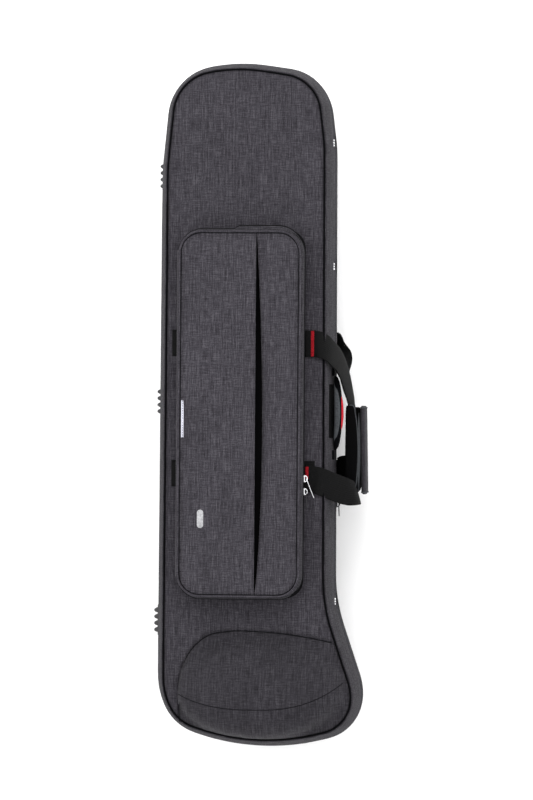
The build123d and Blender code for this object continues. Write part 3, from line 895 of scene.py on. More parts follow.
def off_spine(places):
    """True where the zipper is, away from the hinge strip."""
    on_left = places[:, 0] < -0.1
    low, high = SPINE_STRIP
    return ~(on_left & (places[:, 1] > low) & (places[:, 1] < high))


def coil_row(name, line, pitch, shift, keep, z, size, body):
    """Zipper coil: one bar per tooth along a line, where keep finds a zipper."""
    places = resample(line, pitch, closed=True)
    tangent = tangents(places, closed=True)
    places = places + tangent * shift
    here = keep(places)
    places, tangent = places[here], tangent[here]
    up = np.tile(UP, (len(places), 1))
    return blocks(name, at_height(places, z), at_height(tangent, 0.0), up, size, COIL, body)


def tooth_row(name, z, body, node, shift):
    row = coil_row(name, outline(0.0004), 0.0026, shift, off_spine, z, (0.0034, 0.0014, 0.0022), body)
    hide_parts(node)


def main_zipper():
    near, far = 0.0012, 0.0046
    zipper_band("lid_zip_tape", PARTING + near, PARTING + far, -0.0006, TAPE, "lid", "lid_zipper_tape")
    zipper_band("base_zip_tape", PARTING - far, PARTING - near, -0.0006, TAPE, "base", "base_zipper_tape")
    tooth_row("lid_zip_coil", PARTING + 0.0004, "lid", "lid_zipper_teeth", 0.0)
    tooth_row("base_zip_coil", PARTING - 0.0004, "base", "base_zipper_teeth", 0.0013)


def spine_strip():
    """Cloth strip over the spine, where the lid hinges."""
    low, high = SPINE_STRIP
    loop = outline(0)
    picked = np.where((loop[:, 0] < -0.1) & (loop[:, 1] > low) & (loop[:, 1] < high))[0]
    order = np.argsort(loop[picked, 1])
    picked = picked[order]
    rows = []
    places = np.linspace(-0.017, 0.017, 21)
    for dz in places:
        swell = 0.0012 - 0.0006 * (dz / 0.017) ** 2
        at = outline(draft(PARTING + dz) - swell)[picked]
        ends = np.minimum(loop[picked, 1] - low, high - loop[picked, 1]) / 0.014
        at = at - OUTWARD[picked] * (0.0016 * np.clip(1 - ends, 0, 1) ** 2)[:, None]
        rows.append(at_height(at, PARTING + dz))
    # The strip takes the darker side cloth: painted shade.
    strip = grid_piece("spine_hinge_cloth", rows, list(places), list(loop[picked, 1]), SHADED_SIDE_CLOTH, None)
    thicken(strip, 0.0010)
    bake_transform(strip)
    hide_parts("spine_hinge_strip")
    for dz, body in ((-0.0145, "base"), (0.0145, "lid")):
        at = outline(draft(PARTING + dz) - 0.0019)[picked]
        path = at_height(at, PARTING + dz)
        stitches("spine_stitches_" + body, path, THREAD_GREY, body)


# ---- pocket ------------------------------------------------------------------
PANEL_INSET = 0.0046
SLIT_GAPE = 0.0086
PANEL_LEAN = 0.0014      # how far the front panel leans to the left
ZIP_BULGE = 0.0048      # widest the slip opening stands open


def pocket_loop(inset, spacing=0.006):
    """Rounded rectangle of the pocket, anticlockwise; every inset has matching points."""
    half_x, half_y = POCKET_HALF
    radius = max(0.004, POCKET_RADIUS - inset)
    arc_steps = 9
    points = []
    corners = ((1, 1, 0), (-1, 1, 90), (-1, -1, 180), (1, -1, 270))
    for i, (sx, sy, start) in enumerate(corners):
        cx = POCKET_CENTRE[0] + sx * (half_x - inset - radius)
        cy = POCKET_CENTRE[1] + sy * (half_y - inset - radius)
        for k in range(arc_steps + 1):
            angle = math.radians(start + 90 * k / arc_steps)
            points.append((cx + radius * math.cos(angle), cy + radius * math.sin(angle)))
        nx, ny, next_start = corners[(i + 1) % 4]
        ex = POCKET_CENTRE[0] + nx * (half_x - inset - radius) + radius * math.cos(math.radians(next_start))
        ey = POCKET_CENTRE[1] + ny * (half_y - inset - radius) + radius * math.sin(math.radians(next_start))
        length = 2 * (half_y if i % 2 else half_x)
        count = max(2, int(length / spacing))
        last = points[-1]
        points += [(last[0] + (ex - last[0]) * k / count, last[1] + (ey - last[1]) * k / count)
                   for k in range(1, count)]
    return np.array(points)


POCKET_ALONG = lengths_along(pocket_loop(0))


def zipper_line(inset, share=1.0):
    """The zipper's line round the pocket; it bulges along the right half of the top."""
    loop = pocket_loop(inset)
    over = np.clip((loop[:, 0] + 0.015) / 0.006, 0, 1) * (loop[:, 1] > POCKET_CENTRE[1])
    past = np.clip((loop[:, 0] - 0.040) / 0.040, 0, 1)
    bulge = share * ZIP_BULGE * over * (1 - past ** 2)
    return loop + np.column_stack([np.zeros(len(loop)), bulge])


def pocket_wall(name, profile, body, node):
    """One gusset; near the zipper it follows the zipper's line."""
    rows = []
    for z, inset in profile:
        share = max(0.0, 1 - (abs(z - POCKET_ZIP) - 0.003) / 0.006)
        rows.append(at_height(zipper_line(inset, share), z))
    # Gussets in the darker side cloth: painted shade.
    piece = grid_piece(name, rows, [z for z, _ in profile], POCKET_ALONG, SHADED_SIDE_CLOTH, body, closed=True)
    thicken(piece, 0.0008, offset=1.0)
    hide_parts(node)
    return piece


def gusset_profile(z_low, z_high, inset_low, inset_high, swell, count=9):
    profile = []
    for i in range(count + 1):
        t = i / count
        inset = inset_low + (inset_high - inset_low) * t - swell * math.sin(math.pi * t) ** 0.8
        profile.append((z_low + (z_high - z_low) * t, inset))
    return profile


def clip_left(loop, x_cut, keep_left):
    """Part of a loop on one side of a line of constant x."""
    out = []
    side = 1 if keep_left else -1
    for p, q in zip(loop, np.roll(loop, -1, 0)):
        p_in, q_in = side * (x_cut - p[0]) >= 0, side * (x_cut - q[0]) >= 0
        if p_in:
            out.append(p)
        if p_in != q_in:
            t = (x_cut - p[0]) / (q[0] - p[0])
            out.append(p + (q - p) * t)
    return np.array(out)


def split_edge(loop, x_cut, spacing):
    """Add points along the cut edge so that it can bend."""
    out = []
    for p, q in zip(loop, np.roll(loop, -1, 0)):
        out.append(p)
        if abs(p[0] - x_cut) < 1e-6 and abs(q[0] - x_cut) < 1e-6:
            count = int(abs(q[1] - p[1]) / spacing)
            out += [p + (q - p) * k / count for k in range(1, count)]
    return np.array(out)


def slit_opening(y):
    """How far the slip opening gapes at a place along it: 0 at its ends, 1 in its widest part."""
    low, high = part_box("pocket_panel_right")[0][1] + 0.008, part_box("pocket_panel_right")[1][1] - 0.008
    t = np.clip((y - low) / (high - low), 0, 1)
    return np.sin(math.pi * t ** 0.86) ** 0.8


def panel_loop(inset):
    """Outline of the pocket's front panel, which leans a little to the left."""
    return pocket_loop(inset) - np.array([PANEL_LEAN, 0.0])


def pocket_surface(points):
    gap = edge_distance(points, panel_loop(PANEL_INSET))
    pillow = 0.0030 * (1 - np.exp(-(gap / 0.016) ** 1.5))
    return POCKET_TOP - 0.0012 + pillow + ripple(points, 21, 0.07, 0.00035)


def pocket_panels():
    loop = panel_loop(PANEL_INSET)
    edge_x = SLIT_X + 0.0010
    left_loop = split_edge(clip_left(loop, SLIT_X, True), SLIT_X, 0.006)

    def left_height(points):
        hem = 0.0006 * np.exp(-((SLIT_X - points[:, 0]) / 0.004) ** 2)
        return pocket_surface(points) + hem

    left = panel("pocket_cloth_left", left_loop, left_height, POCKET, "pocket_flap", thickness=0.0022)
    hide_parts("pocket_panel_left")
    right_loop = split_edge(clip_left(loop, edge_x, False), edge_x, 0.006)
    at_cut = np.abs(right_loop[:, 0] - edge_x) < 1e-6
    right_loop[at_cut, 0] += SLIT_GAPE * slit_opening(right_loop[at_cut, 1])

    def right_height(points):
        gape = slit_opening(points[:, 1])
        past = np.maximum(0.0, points[:, 0] - edge_x - SLIT_GAPE * gape)
        return pocket_surface(points) - 0.0076 * gape * np.exp(-(past / 0.0070) ** 1.6)

    right = panel("pocket_cloth_right", right_loop, right_height, POCKET, "pocket_flap",
                  thickness=0.0018, spacing=0.005)
    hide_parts("pocket_panel_right")
    piping = panel_loop(PANEL_INSET - 0.0010)
    path = at_height(piping, POCKET_TOP - 0.0009)
    cord = tube("pocket_piping_cord", path, 0.0015, POCKET, "pocket_flap")
    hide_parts("pocket_piping")
    for name, inset, drop in (
        ("pocket_seam_inner", PANEL_INSET + 0.0014, 0.0007),
        ("pocket_seam_outer", PANEL_INSET - 0.0024, 0.0024),
    ):
        path = at_height(panel_loop(inset), POCKET_TOP - drop)
        tube(name, path, 0.0005, SEAM, "pocket_flap", sides=6)
    stitch = panel_loop(PANEL_INSET + 0.0050)
    flat = at_height(stitch, pocket_surface(stitch))
    stitches("pocket_stitches", flat, THREAD_GREY, "pocket_flap", closed=True)


def pocket_off_hinge(places):
    """True where the pocket's zipper is: everywhere but its hinge side."""
    half_x, half_y = POCKET_HALF
    on_left = places[:, 0] < POCKET_CENTRE[0] - half_x + 0.004
    return ~(on_left & (np.abs(places[:, 1] - POCKET_CENTRE[1]) < half_y - 0.030))


def pocket_zipper():
    near, far = 0.0006, 0.0034
    for name, z_low, z_high, body, node in (
        ("pocket_zip_tape_lower", POCKET_ZIP - far, POCKET_ZIP - near, "lid", "pocket_zipper_fixed"),
        ("pocket_zip_tape_upper", POCKET_ZIP + near, POCKET_ZIP + far, "pocket_flap", "pocket_zipper_flap"),
    ):
        profile = ((z_low, 0.0004), (z_low + 0.0005, -0.0004), (z_high - 0.0005, -0.0004), (z_high, 0.0004))
        rows = [at_height(zipper_line(inset), z) for z, inset in profile]
        piece = grid_piece(name, rows, [z for z, _ in profile], POCKET_ALONG, TAPE, body, closed=True)
        thicken(piece, 0.0008, offset=1.0)
        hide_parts(node)
    for name, dz, shift, body in (("pocket_zip_coil_lower", -0.0003, 0.0, "lid"),
                                  ("pocket_zip_coil_upper", 0.0003, 0.0009, "pocket_flap")):
        row = coil_row(name, zipper_line(-0.0004), 0.0018, shift, pocket_off_hinge, POCKET_ZIP + dz,
                       (0.0022, 0.0008, 0.0014), body)


def pocket_hinge_strip():
    """Left side of the gusset, where the pocket hinges."""
    half_x, half_y = POCKET_HALF
    ys = np.linspace(POCKET_CENTRE[1] - half_y + 0.030, POCKET_CENTRE[1] + half_y - 0.030, 80)
    rows = []
    places = np.linspace(-0.0062, 0.0062, 9)
    for dz in places:
        swell = 0.0026 - 0.0010 * (dz / 0.0062) ** 2
        x = POCKET_CENTRE[0] - half_x - swell + max(0.0, dz) * 0.35
        rows.append(np.column_stack([np.full(len(ys), x), ys, np.full(len(ys), POCKET_ZIP + dz)]))
    strip = grid_piece("pocket_hinge_cloth", rows, list(places), list(ys), POCKET, None)
    thicken(strip, 0.0012, offset=1.0)
    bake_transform(strip)


def pocket():
    floor_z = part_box("pocket_gusset_fixed")[0][2]
    lower = gusset_profile(floor_z, POCKET_ZIP - 0.0030, 0.0015, 0.0006, 0.0006)
    pocket_wall("pocket_gusset_lower", lower, "lid", "pocket_gusset_fixed")
    upper = gusset_profile(POCKET_ZIP + 0.0030, POCKET_TOP - 0.0014, 0.0006, PANEL_INSET - 0.0006, 0.0010)
    pocket_wall("pocket_gusset_upper", upper, "pocket_flap", "pocket_gusset_flap")
    pocket_panels()
    pocket_zipper()
    pocket_hinge_strip()


# ---- webbing -----------------------------------------------------------------
def section_ring(width, thickness, corner=0.0006, sides=3):
    """Rounded rectangle section: offsets across the width and through the thickness."""
    half_w, half_t = width / 2 - corner, thickness / 2 - corner
    ring = []
    for sx, sy, start in ((1, 1, 0), (-1, 1, 90), (-1, -1, 180), (1, -1, 270)):
        for k in range(sides):
            angle = math.radians(start + 90 * k / (sides - 1))
            ring.append((sx * half_w + corner * math.cos(angle), sy * half_t + corner * math.sin(angle)))
    out = []
    for (a, b), (c, d) in zip(ring, ring[1:] + ring[:1]):
        out.append((a, b))
        if math.hypot(c - a, d - b) > 0.006:
            out += [(a + (c - a) * k / 6, b + (d - b) * k / 6) for k in range(1, 6)]
    return out


def ribbon(name, keys, thickness, material, body, per_span=10, cup=0.0):
    """Strap along keys of (centre, width direction, width), with rounded edges."""
    line = smooth_line([(*centre, *across, width) for centre, across, width in keys], per_span)
    centre, across, width = line[:, :3], line[:, 3:6], line[:, 6]
    tangent = tangents(centre, closed=False)
    across = unit_rows(across - tangent * (across * tangent).sum(1)[:, None])
    normal = np.cross(across, tangent)
    step = np.linalg.norm(np.diff(centre, axis=0), axis=1)
    run = np.concatenate([[0], np.cumsum(step)])
    unit = section_ring(WEB_WIDTH, thickness)
    around = lengths_along(np.array(unit))
    rows = []
    for i in range(len(centre)):
        scale = width[i] / WEB_WIDTH
        row = []
        for a, b in unit:
            lean = cup * ((2 * a / WEB_WIDTH) ** 2 - 0.33)
            row.append(centre[i] + across[i] * (a * scale) + normal[i] * (b + lean))
        rows.append(row)
    piece = grid_piece(name, rows, run, around, material, body, closed=True, caps=True, turned=True)
    return piece


def bands():
    for name, y in (("band_upper", BAND_Y[0]), ("band_lower", BAND_Y[1])):
        low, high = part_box(name)
        z = (low[2] + high[2]) / 2
        xs = np.linspace(low[0], high[0], 10)
        keys = [((x, y, z), (0, 1, 0), WEB_WIDTH - 0.0006) for x in xs]
        strap = ribbon(name + "_web", keys, 0.0018, WEBBING, "lid", per_span=3)
        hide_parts(name)
        for side, ending in ((-1, "_stitches_a"), (1, "_stitches_b")):
            edge = side * (WEB_WIDTH / 2 - 0.0026)
            path = [(x, y + edge, high[2]) for x in np.linspace(low[0] + 0.002, high[0] - 0.002, 12)]
            stitches(name + ending, path, SEAM, "lid", pitch=0.003, radius=0.0003)


def front_loop():
    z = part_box("front_strap_loop")[1][2] - 0.0012
    keys = (
        ((0.0840, 0.0865, z), (0, 1, 0), 0.0370),
        ((0.0940, 0.0865, z + 0.0002), (0, 1, 0), 0.0370),
        ((0.1030, 0.0858, z + 0.0008), (0.03, 1, -0.03), 0.0370),
        ((0.1125, 0.0820, z - 0.0050), (0.24, 0.86, -0.45), 0.0370),
        ((0.1205, 0.0745, 0.1630), (0.30, 0.60, -0.75), 0.0370),
        ((0.1290, 0.0640, 0.1450), (0.30, 0.28, -0.90), 0.0370),
        ((0.1360, 0.0470, 0.1270), (0.27, 0.10, -0.95), 0.0370),
        ((0.1415, 0.0240, 0.1140), (0.26, 0.03, -0.96), 0.0350),
        ((0.1460, 0.0010, 0.1050), (0.20, 0, -0.98), 0.0310),
        ((0.1470, -0.0250, 0.0995), (0, 0, -1), 0.0280),
        ((0.1480, -0.0630, 0.0985), (0, 0, -1), 0.0280),
        ((0.1485, -0.0960, 0.1010), (0, -0.05, -1), 0.0280),
        ((0.1500, -0.1130, 0.1080), (0.10, -0.40, -0.90), 0.0300),
        ((0.1530, -0.1220, 0.1190), (0.20, -0.85, -0.50), 0.0320),
        ((0.1560, -0.1240, 0.1340), (0.30, -0.95, -0.10), 0.0330),
        ((0.1530, -0.1235, 0.1465), (0.14, -0.98, 0.10), 0.0350),
        ((0.1450, -0.1225, 0.1545), (-0.04, -0.99, 0.05), 0.0370),
        ((0.1345, -0.1190, 0.1620), (-0.16, -0.98, 0), 0.0380),
        ((0.1200, -0.1130, 0.1715), (-0.20, -0.97, -0.06), 0.0380),
        ((0.1060, -0.1070, z + 0.0006), (-0.14, -1, 0), 0.0380),
        ((0.0960, -0.1040, z + 0.0006), (-0.05, -1, 0), 0.0370),
        ((0.0840, -0.1030, z), (0, -1, 0), 0.0370),
    )
    strap = ribbon("front_loop_web", keys, 0.0022, WEBBING, "lid", cup=0.0008)
    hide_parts("front_strap_loop")


def back_loop():
    up, low = BAND_Y
    keys = (
        ((0.1150, up, 0.016), (0, 1, 0), 0.0370),
        ((0.1212, up, 0.040), (0, 1, 0), 0.0370),
        ((0.1244, up - 0.005, 0.058), (0.10, 0.98, -0.12), 0.0370),
        ((0.1256, up - 0.016, 0.068), (0.24, 0.80, -0.48), 0.0360),
        ((0.1290, up - 0.029, 0.078), (0.28, 0.50, -0.80), 0.0340),
        ((0.1330, up - 0.046, 0.086), (0.22, 0.22, -0.95), 0.0320),
        ((0.1385, up - 0.067, 0.091), (0.20, 0.06, -0.98), 0.0300),
        ((0.1465, up - 0.088, 0.094), (0.18, 0, -0.98), 0.0280),
        ((0.1525, -0.040, 0.095), (0, 0, -1), 0.0260),
        ((0.1525, -0.072, 0.093), (0, -0.1, -1), 0.0260),
        ((0.1500, -0.084, 0.083), (-0.1, -0.75, -0.5), 0.0260),
        ((0.1430, -0.086, 0.0745), (0, -1, -0.1), 0.0280),
        ((0.1320, -0.087, 0.0665), (0, -1, 0), 0.0300),
        ((0.1250, -0.092, 0.0580), (0, -1, 0), 0.0340),
        ((0.1216, low, 0.040), (0, -1, 0), 0.0370),
        ((0.1154, low, 0.016), (0, -1, 0), 0.0370),
    )
    strap = ribbon("back_loop_web", keys, 0.0022, WEBBING, "base", cup=0.0008)
    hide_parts("back_strap_loop")


def bartack_threads():
    """Satin stitching: close threads laid across the webbing."""
    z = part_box("bartacks")[1][2] - 0.0003
    places = []
    pitch = 0.0009
    for x_low, x_high, y_low, y_high in (
        (0.0915, 0.0960, BAND_Y[0] - 0.0180, BAND_Y[0] + 0.0180),
        (0.0850, 0.0893, -0.1035, -0.0860),
    ):
        for k in range(int((y_high - y_low) / pitch)):
            wiggle = 0.0002 * math.sin(k * 2.4)
            places.append(((x_low + x_high) / 2 + wiggle, y_low + (k + 0.5) * pitch, z + 0.00015 * (k % 2)))
    places = np.array(places)
    along = np.tile([0.995, 0.10, 0.0], (len(places), 1))
    across = np.tile([-0.10, 0.995, 0.0], (len(places), 1))
    size = (0.0046, 0.00085, 0.0009)
    piece = blocks("bartack_threads", places, across, along, size, RED, "lid", taper=0.7)
    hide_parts("bartacks")


# ---- wrap and side handle ----------------------------------------------------
def lofted(name, sections, material, body):
    """Closed body through matching rings of points."""
    sections = np.array(sections)
    along = np.concatenate([[0], np.cumsum(np.linalg.norm(np.diff(sections.mean(1), axis=0), axis=1))])
    around = lengths_along(sections[len(sections) // 2])
    piece = grid_piece(name, sections, along, around, material, body, closed=True, caps=True, turned=True)
    return piece


def signed_power(value, power):
    return math.copysign(abs(value) ** power, value)


def soft_ring(centre_x, centre_z, half_x, half_z, power=3.2, count=28):
    """Superellipse in the XZ plane."""
    ring = []
    for k in range(count):
        angle = 2 * math.pi * k / count
        c, s = math.cos(angle), math.sin(angle)
        ring.append((centre_x + half_x * signed_power(c, 2 / power),
                     centre_z + half_z * signed_power(s, 2 / power)))
    return ring


def end_taper(t, sharp=0.12):
    """Rounds a body off at both ends of its length."""
    edge = min(t, 1 - t) / sharp
    return 1.0 if edge >= 1 else math.sqrt(max(0.0, 1 - (1 - edge) ** 2))


def padded_bar(name, y_low, y_high, shape, material, body, count=30, sharp=0.10, least=0.25):
    """Padded bar along Y; shape gives centre x, centre z, half x, half z at a place 0 to 1."""
    sections = []
    for i in range(count + 1):
        t = 0.5 - 0.5 * math.cos(math.pi * i / count)
        y = y_low + (y_high - y_low) * t
        scale = max(least, end_taper(t, sharp))
        cx, cz, hx, hz = shape(t)
        ring = soft_ring(cx, cz, hx * (0.45 + 0.55 * scale), hz * (0.75 + 0.25 * scale))
        sections.append([(x, y, z) for x, z in ring])
    piece = lofted(name, sections, material, body)
    return piece


def grip_wrap():
    low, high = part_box("grip_wrap_inner")
    y_low, y_high = low[1], high[1]
    span = y_high - y_low

    def side(t):
        return (0.1400, 0.0945, 0.0030, 0.0290)

    left = padded_bar("wrap_inner_side", y_low, y_high, side, PADDING, "base")
    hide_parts("grip_wrap_inner")

    def flap(t):
        lean = 0.0035 * math.sin(math.pi * min(1.0, t * 1.1)) ** 0.6
        return (0.1452 + 0.4 * lean, 0.1215, 0.0060 + 0.9 * lean, 0.0040)

    padded_bar("wrap_inner_flap", y_low + 0.003, y_high, flap, PADDING, "base", sharp=0.07)

    def fold(t):
        return (0.1482, 0.0695, 0.0106, 0.0056)

    padded_bar("wrap_fold", y_low + 0.002, y_high - 0.002, fold, PADDING, "base")

    def lens(t):
        swell = math.sin(math.pi * min(1.0, t * 1.02)) ** 0.6
        return (0.1562 + 0.0012 * swell, 0.0995, 0.0010 + 0.0026 * swell, 0.0200 + 0.0060 * swell)

    padded_bar("wrap_outer_side", y_low + 0.004, y_high - 0.010, lens, GREY_EDGE, "base",
               sharp=0.2)
    edge = []
    for t in np.linspace(0.02, 0.985, 50):
        cx, cz, hx, hz = flap(float(t))
        scale = max(0.25, end_taper(float(t), 0.07))
        y = y_low + 0.003 + (span - 0.003) * t
        edge.append((cx + hx * (0.45 + 0.55 * scale) - 0.0002, y, cz + 0.0014))
    cx, cz, hx, _ = flap(1.0)
    edge += [(cx + hx * 0.35, y_high + 0.0002, cz + 0.0016), (cx - hx * 0.35, y_high + 0.0004, cz + 0.0016)]
    path = resample(smooth_line(edge, 3), 0.003)
    binding = tube("wrap_flap_binding", path, 0.0011, GREY_EDGE, "base", closed=False, sides=8)

    def leaf(t):
        return (0.1648 - 0.0024 * t, 0.096, 0.0042, 0.0318)

    outer = padded_bar("wrap_leaf", y_low, y_high, leaf, LEAF_CLOTH, "grip_wrap_leaf",
                       sharp=0.05)
    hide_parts("grip_wrap_outer")
    for name, t, y in (
        ("wrap_leaf_cap_lower", 0.0, y_low + 0.0028),
        ("wrap_leaf_cap_upper", 1.0, y_high - 0.0028),
    ):
        cx, cz, hx, hz = leaf(t)
        ring = [(x, y, z) for x, z in soft_ring(cx, cz, hx - 0.0004, hz - 0.0004, count=36)]
        tube(name, ring, 0.0012, GREY_EDGE, "grip_wrap_leaf", sides=8)


def side_handle():
    low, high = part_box("side_handle_grip")
    y_low, y_high = low[1], high[1]
    z_mid = (low[2] + high[2]) / 2
    span = y_high - y_low

    def bow(t):
        return math.sin(math.pi * min(1.0, max(0.0, t))) ** 0.5

    def core(t):
        b = bow(t)
        return (0.1220 + 0.0050 * b, z_mid + 0.004 * b, 0.0014 + 0.0034 * b, 0.0030 + 0.0042 * b)

    grip = padded_bar("side_handle_pad", y_low + 0.10 * span, y_high - 0.10 * span, core, GREY_EDGE,
                      "side_handle", count=36)
    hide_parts("side_handle_grip")

    def skin(t):
        cx, cz, hx, hz = core(t)
        return (cx + 0.0012, cz - 0.0020, hx + 0.0008, hz + 0.0004)

    padded_bar("side_handle_binding", y_low, y_high, skin, TRIM, "side_handle", count=36)

    def inlay(t):
        cx, cz, hx, hz = core(0.27 + 0.46 * t)
        return (cx + 0.0055, cz - 0.0020, hx * (0.20 + 0.42 * bow(t)), hz * 0.8)

    red = padded_bar("side_handle_inlay", y_low + 0.27 * span, y_low + 0.73 * span, inlay, RED_LINING,
                     "side_handle", count=24, sharp=0.3, least=0.05)
    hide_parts("side_handle_stripe")
    tabs_low, tabs_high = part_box("side_handle_tabs")

    def tab_shape(t):
        return (0.1195, z_mid, 0.0034, 0.0118)

    for name, start, end in (
        ("side_handle_tab_lower", tabs_low[1], y_low - 0.0004),
        ("side_handle_tab_upper", y_high + 0.0004, tabs_high[1]),
    ):
        tab = padded_bar(name, start, end, tab_shape, TRIM, "lid", count=12, sharp=0.3)
        if name.endswith("lower"):
            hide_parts("side_handle_tabs")


def handle_backing():
    """Black patch sewn on the side wall behind the small handle."""
    y_low, y_high, z_low, z_high = -0.046, 0.030, 0.112, 0.157
    zs = np.linspace(z_low, z_high, 14)
    ys = np.linspace(y_low, y_high, 18)
    rows = []
    for i, z in enumerate(zs):
        lift = 0.0016 if 0 < i < len(zs) - 1 else 0.0004
        at = outline(draft(z) - lid_swell(z) - lift)
        near = at[(at[:, 0] > 0.09) & (at[:, 1] > y_low - 0.02) & (at[:, 1] < y_high + 0.02)]
        near = near[np.argsort(near[:, 1])]
        xs = np.interp(ys, near[:, 1], near[:, 0]) - handle_flat(ys, z)
        rows.append(np.column_stack([xs, ys, np.full(len(ys), z)]))
    piece = grid_piece("handle_backing", rows, list(zs), list(ys), PADDING, "lid")
    thicken(piece, 0.0016)
    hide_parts("side_reinforcement_patch")


def studs():
    """Small dark plates with three bright rivet heads each."""
    slope = math.atan2(FRONT_INSET, FRONT - PARTING)
    out = np.array([math.cos(slope), 0, math.sin(slope)])
    up = np.array([-math.sin(slope), 0, math.cos(slope)])
    along = np.array([0.0, 1.0, 0.0])
    plate_verts = []
    faces = []
    head_verts = []
    head_faces = []

    def lathe(verts, faces_list, centre, profile, stretch, count=16):
        base = len(verts)
        for radius, height in profile:
            for k in range(count):
                angle = 2 * math.pi * k / count
                side = along * (radius * stretch * math.cos(angle)) + up * (radius * math.sin(angle))
                verts.append(centre + out * height + side)
        for i in range(len(profile) - 1):
            low, high = base + i * count, base + (i + 1) * count
            for k in range(count):
                m = (k + 1) % count
                faces_list.append((low + k, low + m, high + m, high + k))
        faces_list.append(tuple(base + k for k in range(count))[::-1])
        faces_list.append(tuple(base + (len(profile) - 1) * count + k for k in range(count)))

    plate_profile = ((0.0040, 0), (0.0043, 0.0012), (0.0040, 0.0019), (0.0034, 0.0021), (0.0032, 0.0017))
    head_profile = ((0.0016, 0), (0.0016, 0.0006), (0.0013, 0.0013), (0.0007, 0.0017), (0.0001, 0.0018))
    for x, y in STUDS:
        centre = np.array([x - draft(STUD_Z) - 0.0022, y, STUD_Z])
        lathe(plate_verts, faces, centre, plate_profile, 1.45)
        for dy in (-0.0036, 0.0, 0.0036):
            spot = centre + along * dy + out * 0.0016
            lathe(head_verts, head_faces, spot, head_profile, 1.0, 12)
    uvs = [[(0, 0)] * len(face) for face in faces]
    plate = new_piece("stud_plates", plate_verts, faces, uvs, DARK_METAL, "lid")
    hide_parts("rim_studs")
    uvs = [[(0, 0)] * len(face) for face in head_faces]
    heads = new_piece("stud_heads", head_verts, head_faces, uvs, BRIGHT, "lid")


# ---- feet, tab, badge --------------------------------------------------------
def feet():
    for name in ("upper", "middle", "lower"):
        low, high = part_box("foot_" + name)
        tip = low[0]
        y_mid = (low[1] + high[1]) / 2
        pitch = 0.0094
        half = (high[1] - low[1]) / 2
        ys = np.linspace(-half, half, 120)
        tooth = np.zeros(len(ys))
        for k in range(4):
            gap = (ys - (k - 1.5) * pitch) / (0.40 * pitch)
            tooth = np.maximum(tooth, np.clip(1 - np.abs(gap) ** 2.6, 0, 1))
        end = np.clip((half - np.abs(ys)) / 0.0015, 0, 1) ** 0.5
        sections = []
        zs = np.linspace(0, 1, 13)
        for t in zs:
            edge = end_taper(float(t), 0.10)
            depth = (0.0022 + 0.0052 * tooth * (0.25 + 0.75 * edge)) * (0.35 + 0.65 * edge) * end
            z = low[2] + (high[2] - low[2]) * t
            root = tip + 0.0074
            front = [(root - d, y_mid + y, z) for y, d in zip(ys, depth)]
            back = [(root + 0.006, y_mid + half, z), (root + 0.006, y_mid - half, z)]
            sections.append(front + back)
        foot = lofted("foot_" + name + "_rubber", sections, RUBBER, "base")
        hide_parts("foot_" + name)


def plate_piece(name, loop, z_low, z_high, bevel, material, body, node):
    """Flat plate with a rounded upper edge, over the soft pocket front."""
    loop = np.array(loop)
    centre = loop.mean(0)
    rows = []
    for z, inset in ((z_low, 0), (z_high - bevel, 0), (z_high - 0.3 * bevel, 0.5 * bevel), (z_high, bevel)):
        arm = loop - centre
        length = np.linalg.norm(arm, axis=1)[:, None]
        rows.append(np.column_stack([centre + arm * (1 - inset / length), np.full(len(loop), z)]))
    along = lengths_along(loop)
    piece = grid_piece(name, rows, [0, 0.001, 0.002, 0.003], along, material, body, closed=True, caps=True)
    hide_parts(node)


def tab_and_badge():
    low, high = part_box("reflective_tab")
    top = float(pocket_surface(np.array([[(low[0] + high[0]) / 2, (low[1] + high[1]) / 2]]))[0])
    loop = [(low[0], low[1]), (high[0], low[1]), (high[0], high[1]), (low[0], high[1])]
    plate_piece("reflective_strip", loop, top - 0.0010, top + 0.0006, 0.0003, REFLECTIVE, "pocket_flap",
                "reflective_tab")
    low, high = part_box("badge")
    centre = ((low[0] + high[0]) / 2, (low[1] + high[1]) / 2)
    top = float(pocket_surface(np.array([centre]))[0])
    radius = (high[0] - low[0]) / 2
    reach = (high[1] - low[1]) / 2 - radius
    loop = []
    for start, dy in ((0, reach), (180, -reach)):
        for k in range(13):
            angle = math.radians(start + 180 * k / 12)
            loop.append((centre[0] + radius * math.cos(angle), centre[1] + dy + radius * math.sin(angle)))
    plate_piece("blank_badge", loop, top - 0.001, top + 0.0007, 0.0004, BADGE, "pocket_flap",
                "badge")


# ---- zip sliders -------------------------------------------------------------
PIN_UP = 0.0037


def slider_shape(node, material):
    """Slider: waisted plate with a bridge, facing +X."""
    low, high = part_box(node)
    y, z = (low[1] + high[1]) / 2, (low[2] + high[2]) / 2
    x = low[0]
    half_y, half_z = (high[1] - low[1]) / 2, (high[2] - low[2]) / 2
    ring = []
    for k in range(40):
        angle = 2 * math.pi * k / 40
        c, s = math.cos(angle), math.sin(angle)
        waist = 1 - 0.16 * math.cos(2 * angle) ** 2 * (1 if c < 0 else 0.4)
        ring.append((half_y * signed_power(c, 0.7), half_z * waist * signed_power(s, 0.7)))
    sections = []
    for dx, scale in ((0, 0.9), (0.0004, 1.0), (0.0013, 1.0), (0.0018, 0.88)):
        sections.append([(x + dx, y + a * scale, z + b * scale) for a, b in ring])
    plate = lofted(node + "_plate", sections, material, node)
    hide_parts(node)
    arch = [(x + 0.0012, y - 0.0042, z), (x + 0.0035, y - 0.0034, z), (x + 0.0049, y - 0.0012, z),
            (x + 0.0049, y + 0.0012, z), (x + 0.0035, y + 0.0034, z), (x + 0.0012, y + 0.0042, z)]
    path = smooth_line(arch, 5)
    tube(node + "_bridge", path, 0.0008, material, node, closed=False, sides=8)


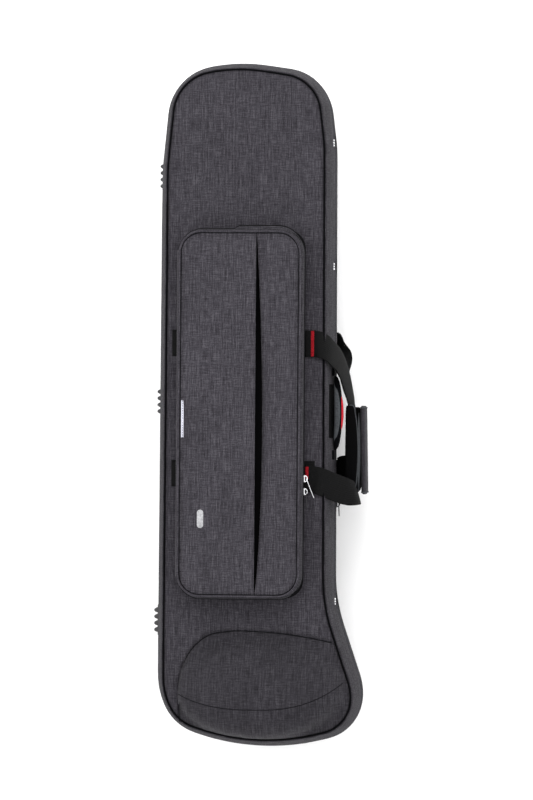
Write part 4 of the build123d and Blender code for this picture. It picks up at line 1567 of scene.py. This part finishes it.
def pull_shape(node, slider_node, angle, length, thick, material):
    """Pull: an eye round the bridge and a tab that widens from a narrow shank and rounds off at its end."""
    x, y, z = slider_place(slider_node)
    pivot = np.array([x + PIN_UP, y, z])
    turn = math.radians(angle)
    ahead = np.array([math.sin(turn), -math.cos(turn), 0])
    out = np.array([math.cos(turn), math.sin(turn), 0])
    up = np.array([0, 0, 1.0])
    eye = [pivot + ahead * (0.0012 * math.cos(a)) * 1.2 + up * (0.0019 * math.sin(a)) + ahead * 0.001
           for a in np.linspace(0, 2 * math.pi, 17)[:-1]]
    tube(node + "_eye", eye, 0.0005, material, node, sides=8)
    sections = []
    for s in np.linspace(0, 1, 22):
        reach = 0.0022 + (length - 0.0022) * s
        wide = 0.0009 + 0.0017 * min(1.0, s * 2.2) ** 1.5
        if s > 0.9:
            wide *= math.sqrt(max(0.04, 1 - ((s - 0.9) / 0.1) ** 2))
        centre = pivot + ahead * reach
        ring = []
        for k in range(12):
            a = 2 * math.pi * k / 12
            c, d = math.cos(a), math.sin(a)
            ring.append(centre + up * (wide * signed_power(c, 0.6)) + out * (thick * signed_power(d, 0.6)))
        sections.append(ring)
    tab = lofted(node + "_tab", sections, material, node)
    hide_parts(node)


def slider_place(node):
    low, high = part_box(node)
    return low[0], (low[1] + high[1]) / 2, (low[2] + high[2]) / 2


def sliders():
    for place in ("main_slider_upper", "main_slider_lower", "pocket_slider_upper", "pocket_slider_lower"):
        slider_shape(place, DARK_METAL if place.startswith("main") else BRIGHT)
    pull_shape("main_pull_upper", "main_slider_upper", 2, 0.018, 0.0007, DARK_METAL)
    pull_shape("main_pull_lower", "main_slider_lower", 2, 0.018, 0.0007, DARK_METAL)
    pull_shape("pocket_pull_upper", "pocket_slider_upper", 22, 0.029, 0.0006, BRIGHT)
    pull_shape("pocket_pull_lower", "pocket_slider_lower", 2, 0.024, 0.0006, DARK_METAL)


# ---- make everything ---------------------------------------------------------
make_camera()
make_stage()
side_walls()
front_cover()
pipings()
back_panel()
main_zipper()
spine_strip()
pocket()
bands()
front_loop()
back_loop()
bartack_threads()
grip_wrap()
side_handle()
handle_backing()
studs()
feet()
tab_and_badge()
sliders()

NODE_MATERIALS = {
    "cover_fabric": COVER, "pocket_fabric": POCKET, "black_trim": TRIM, "foam_shell": FOAM,
    "plush_lining": PLUSH, "zipper_tape": TAPE, "zipper_coil": COIL, "webbing": WEBBING,
    "foot_rubber": RUBBER, "bright_metal": BRIGHT, "black_metal": DARK_METAL, "red_thread": RED,
    "reflective": REFLECTIVE, "badge_print": BADGE,
}
for entry in frame["record"]["subparts"]:
    # The slip lining gets the near-black cloth: painted shadow in the slit.
    look = SLIT_SHADOW_LINING if entry["node"] == "pocket_slip_lining" else NODE_MATERIALS[entry["material_slot"]]
    for slot in frame["nodes"][entry["node"]].material_slots:
        slot.material = look
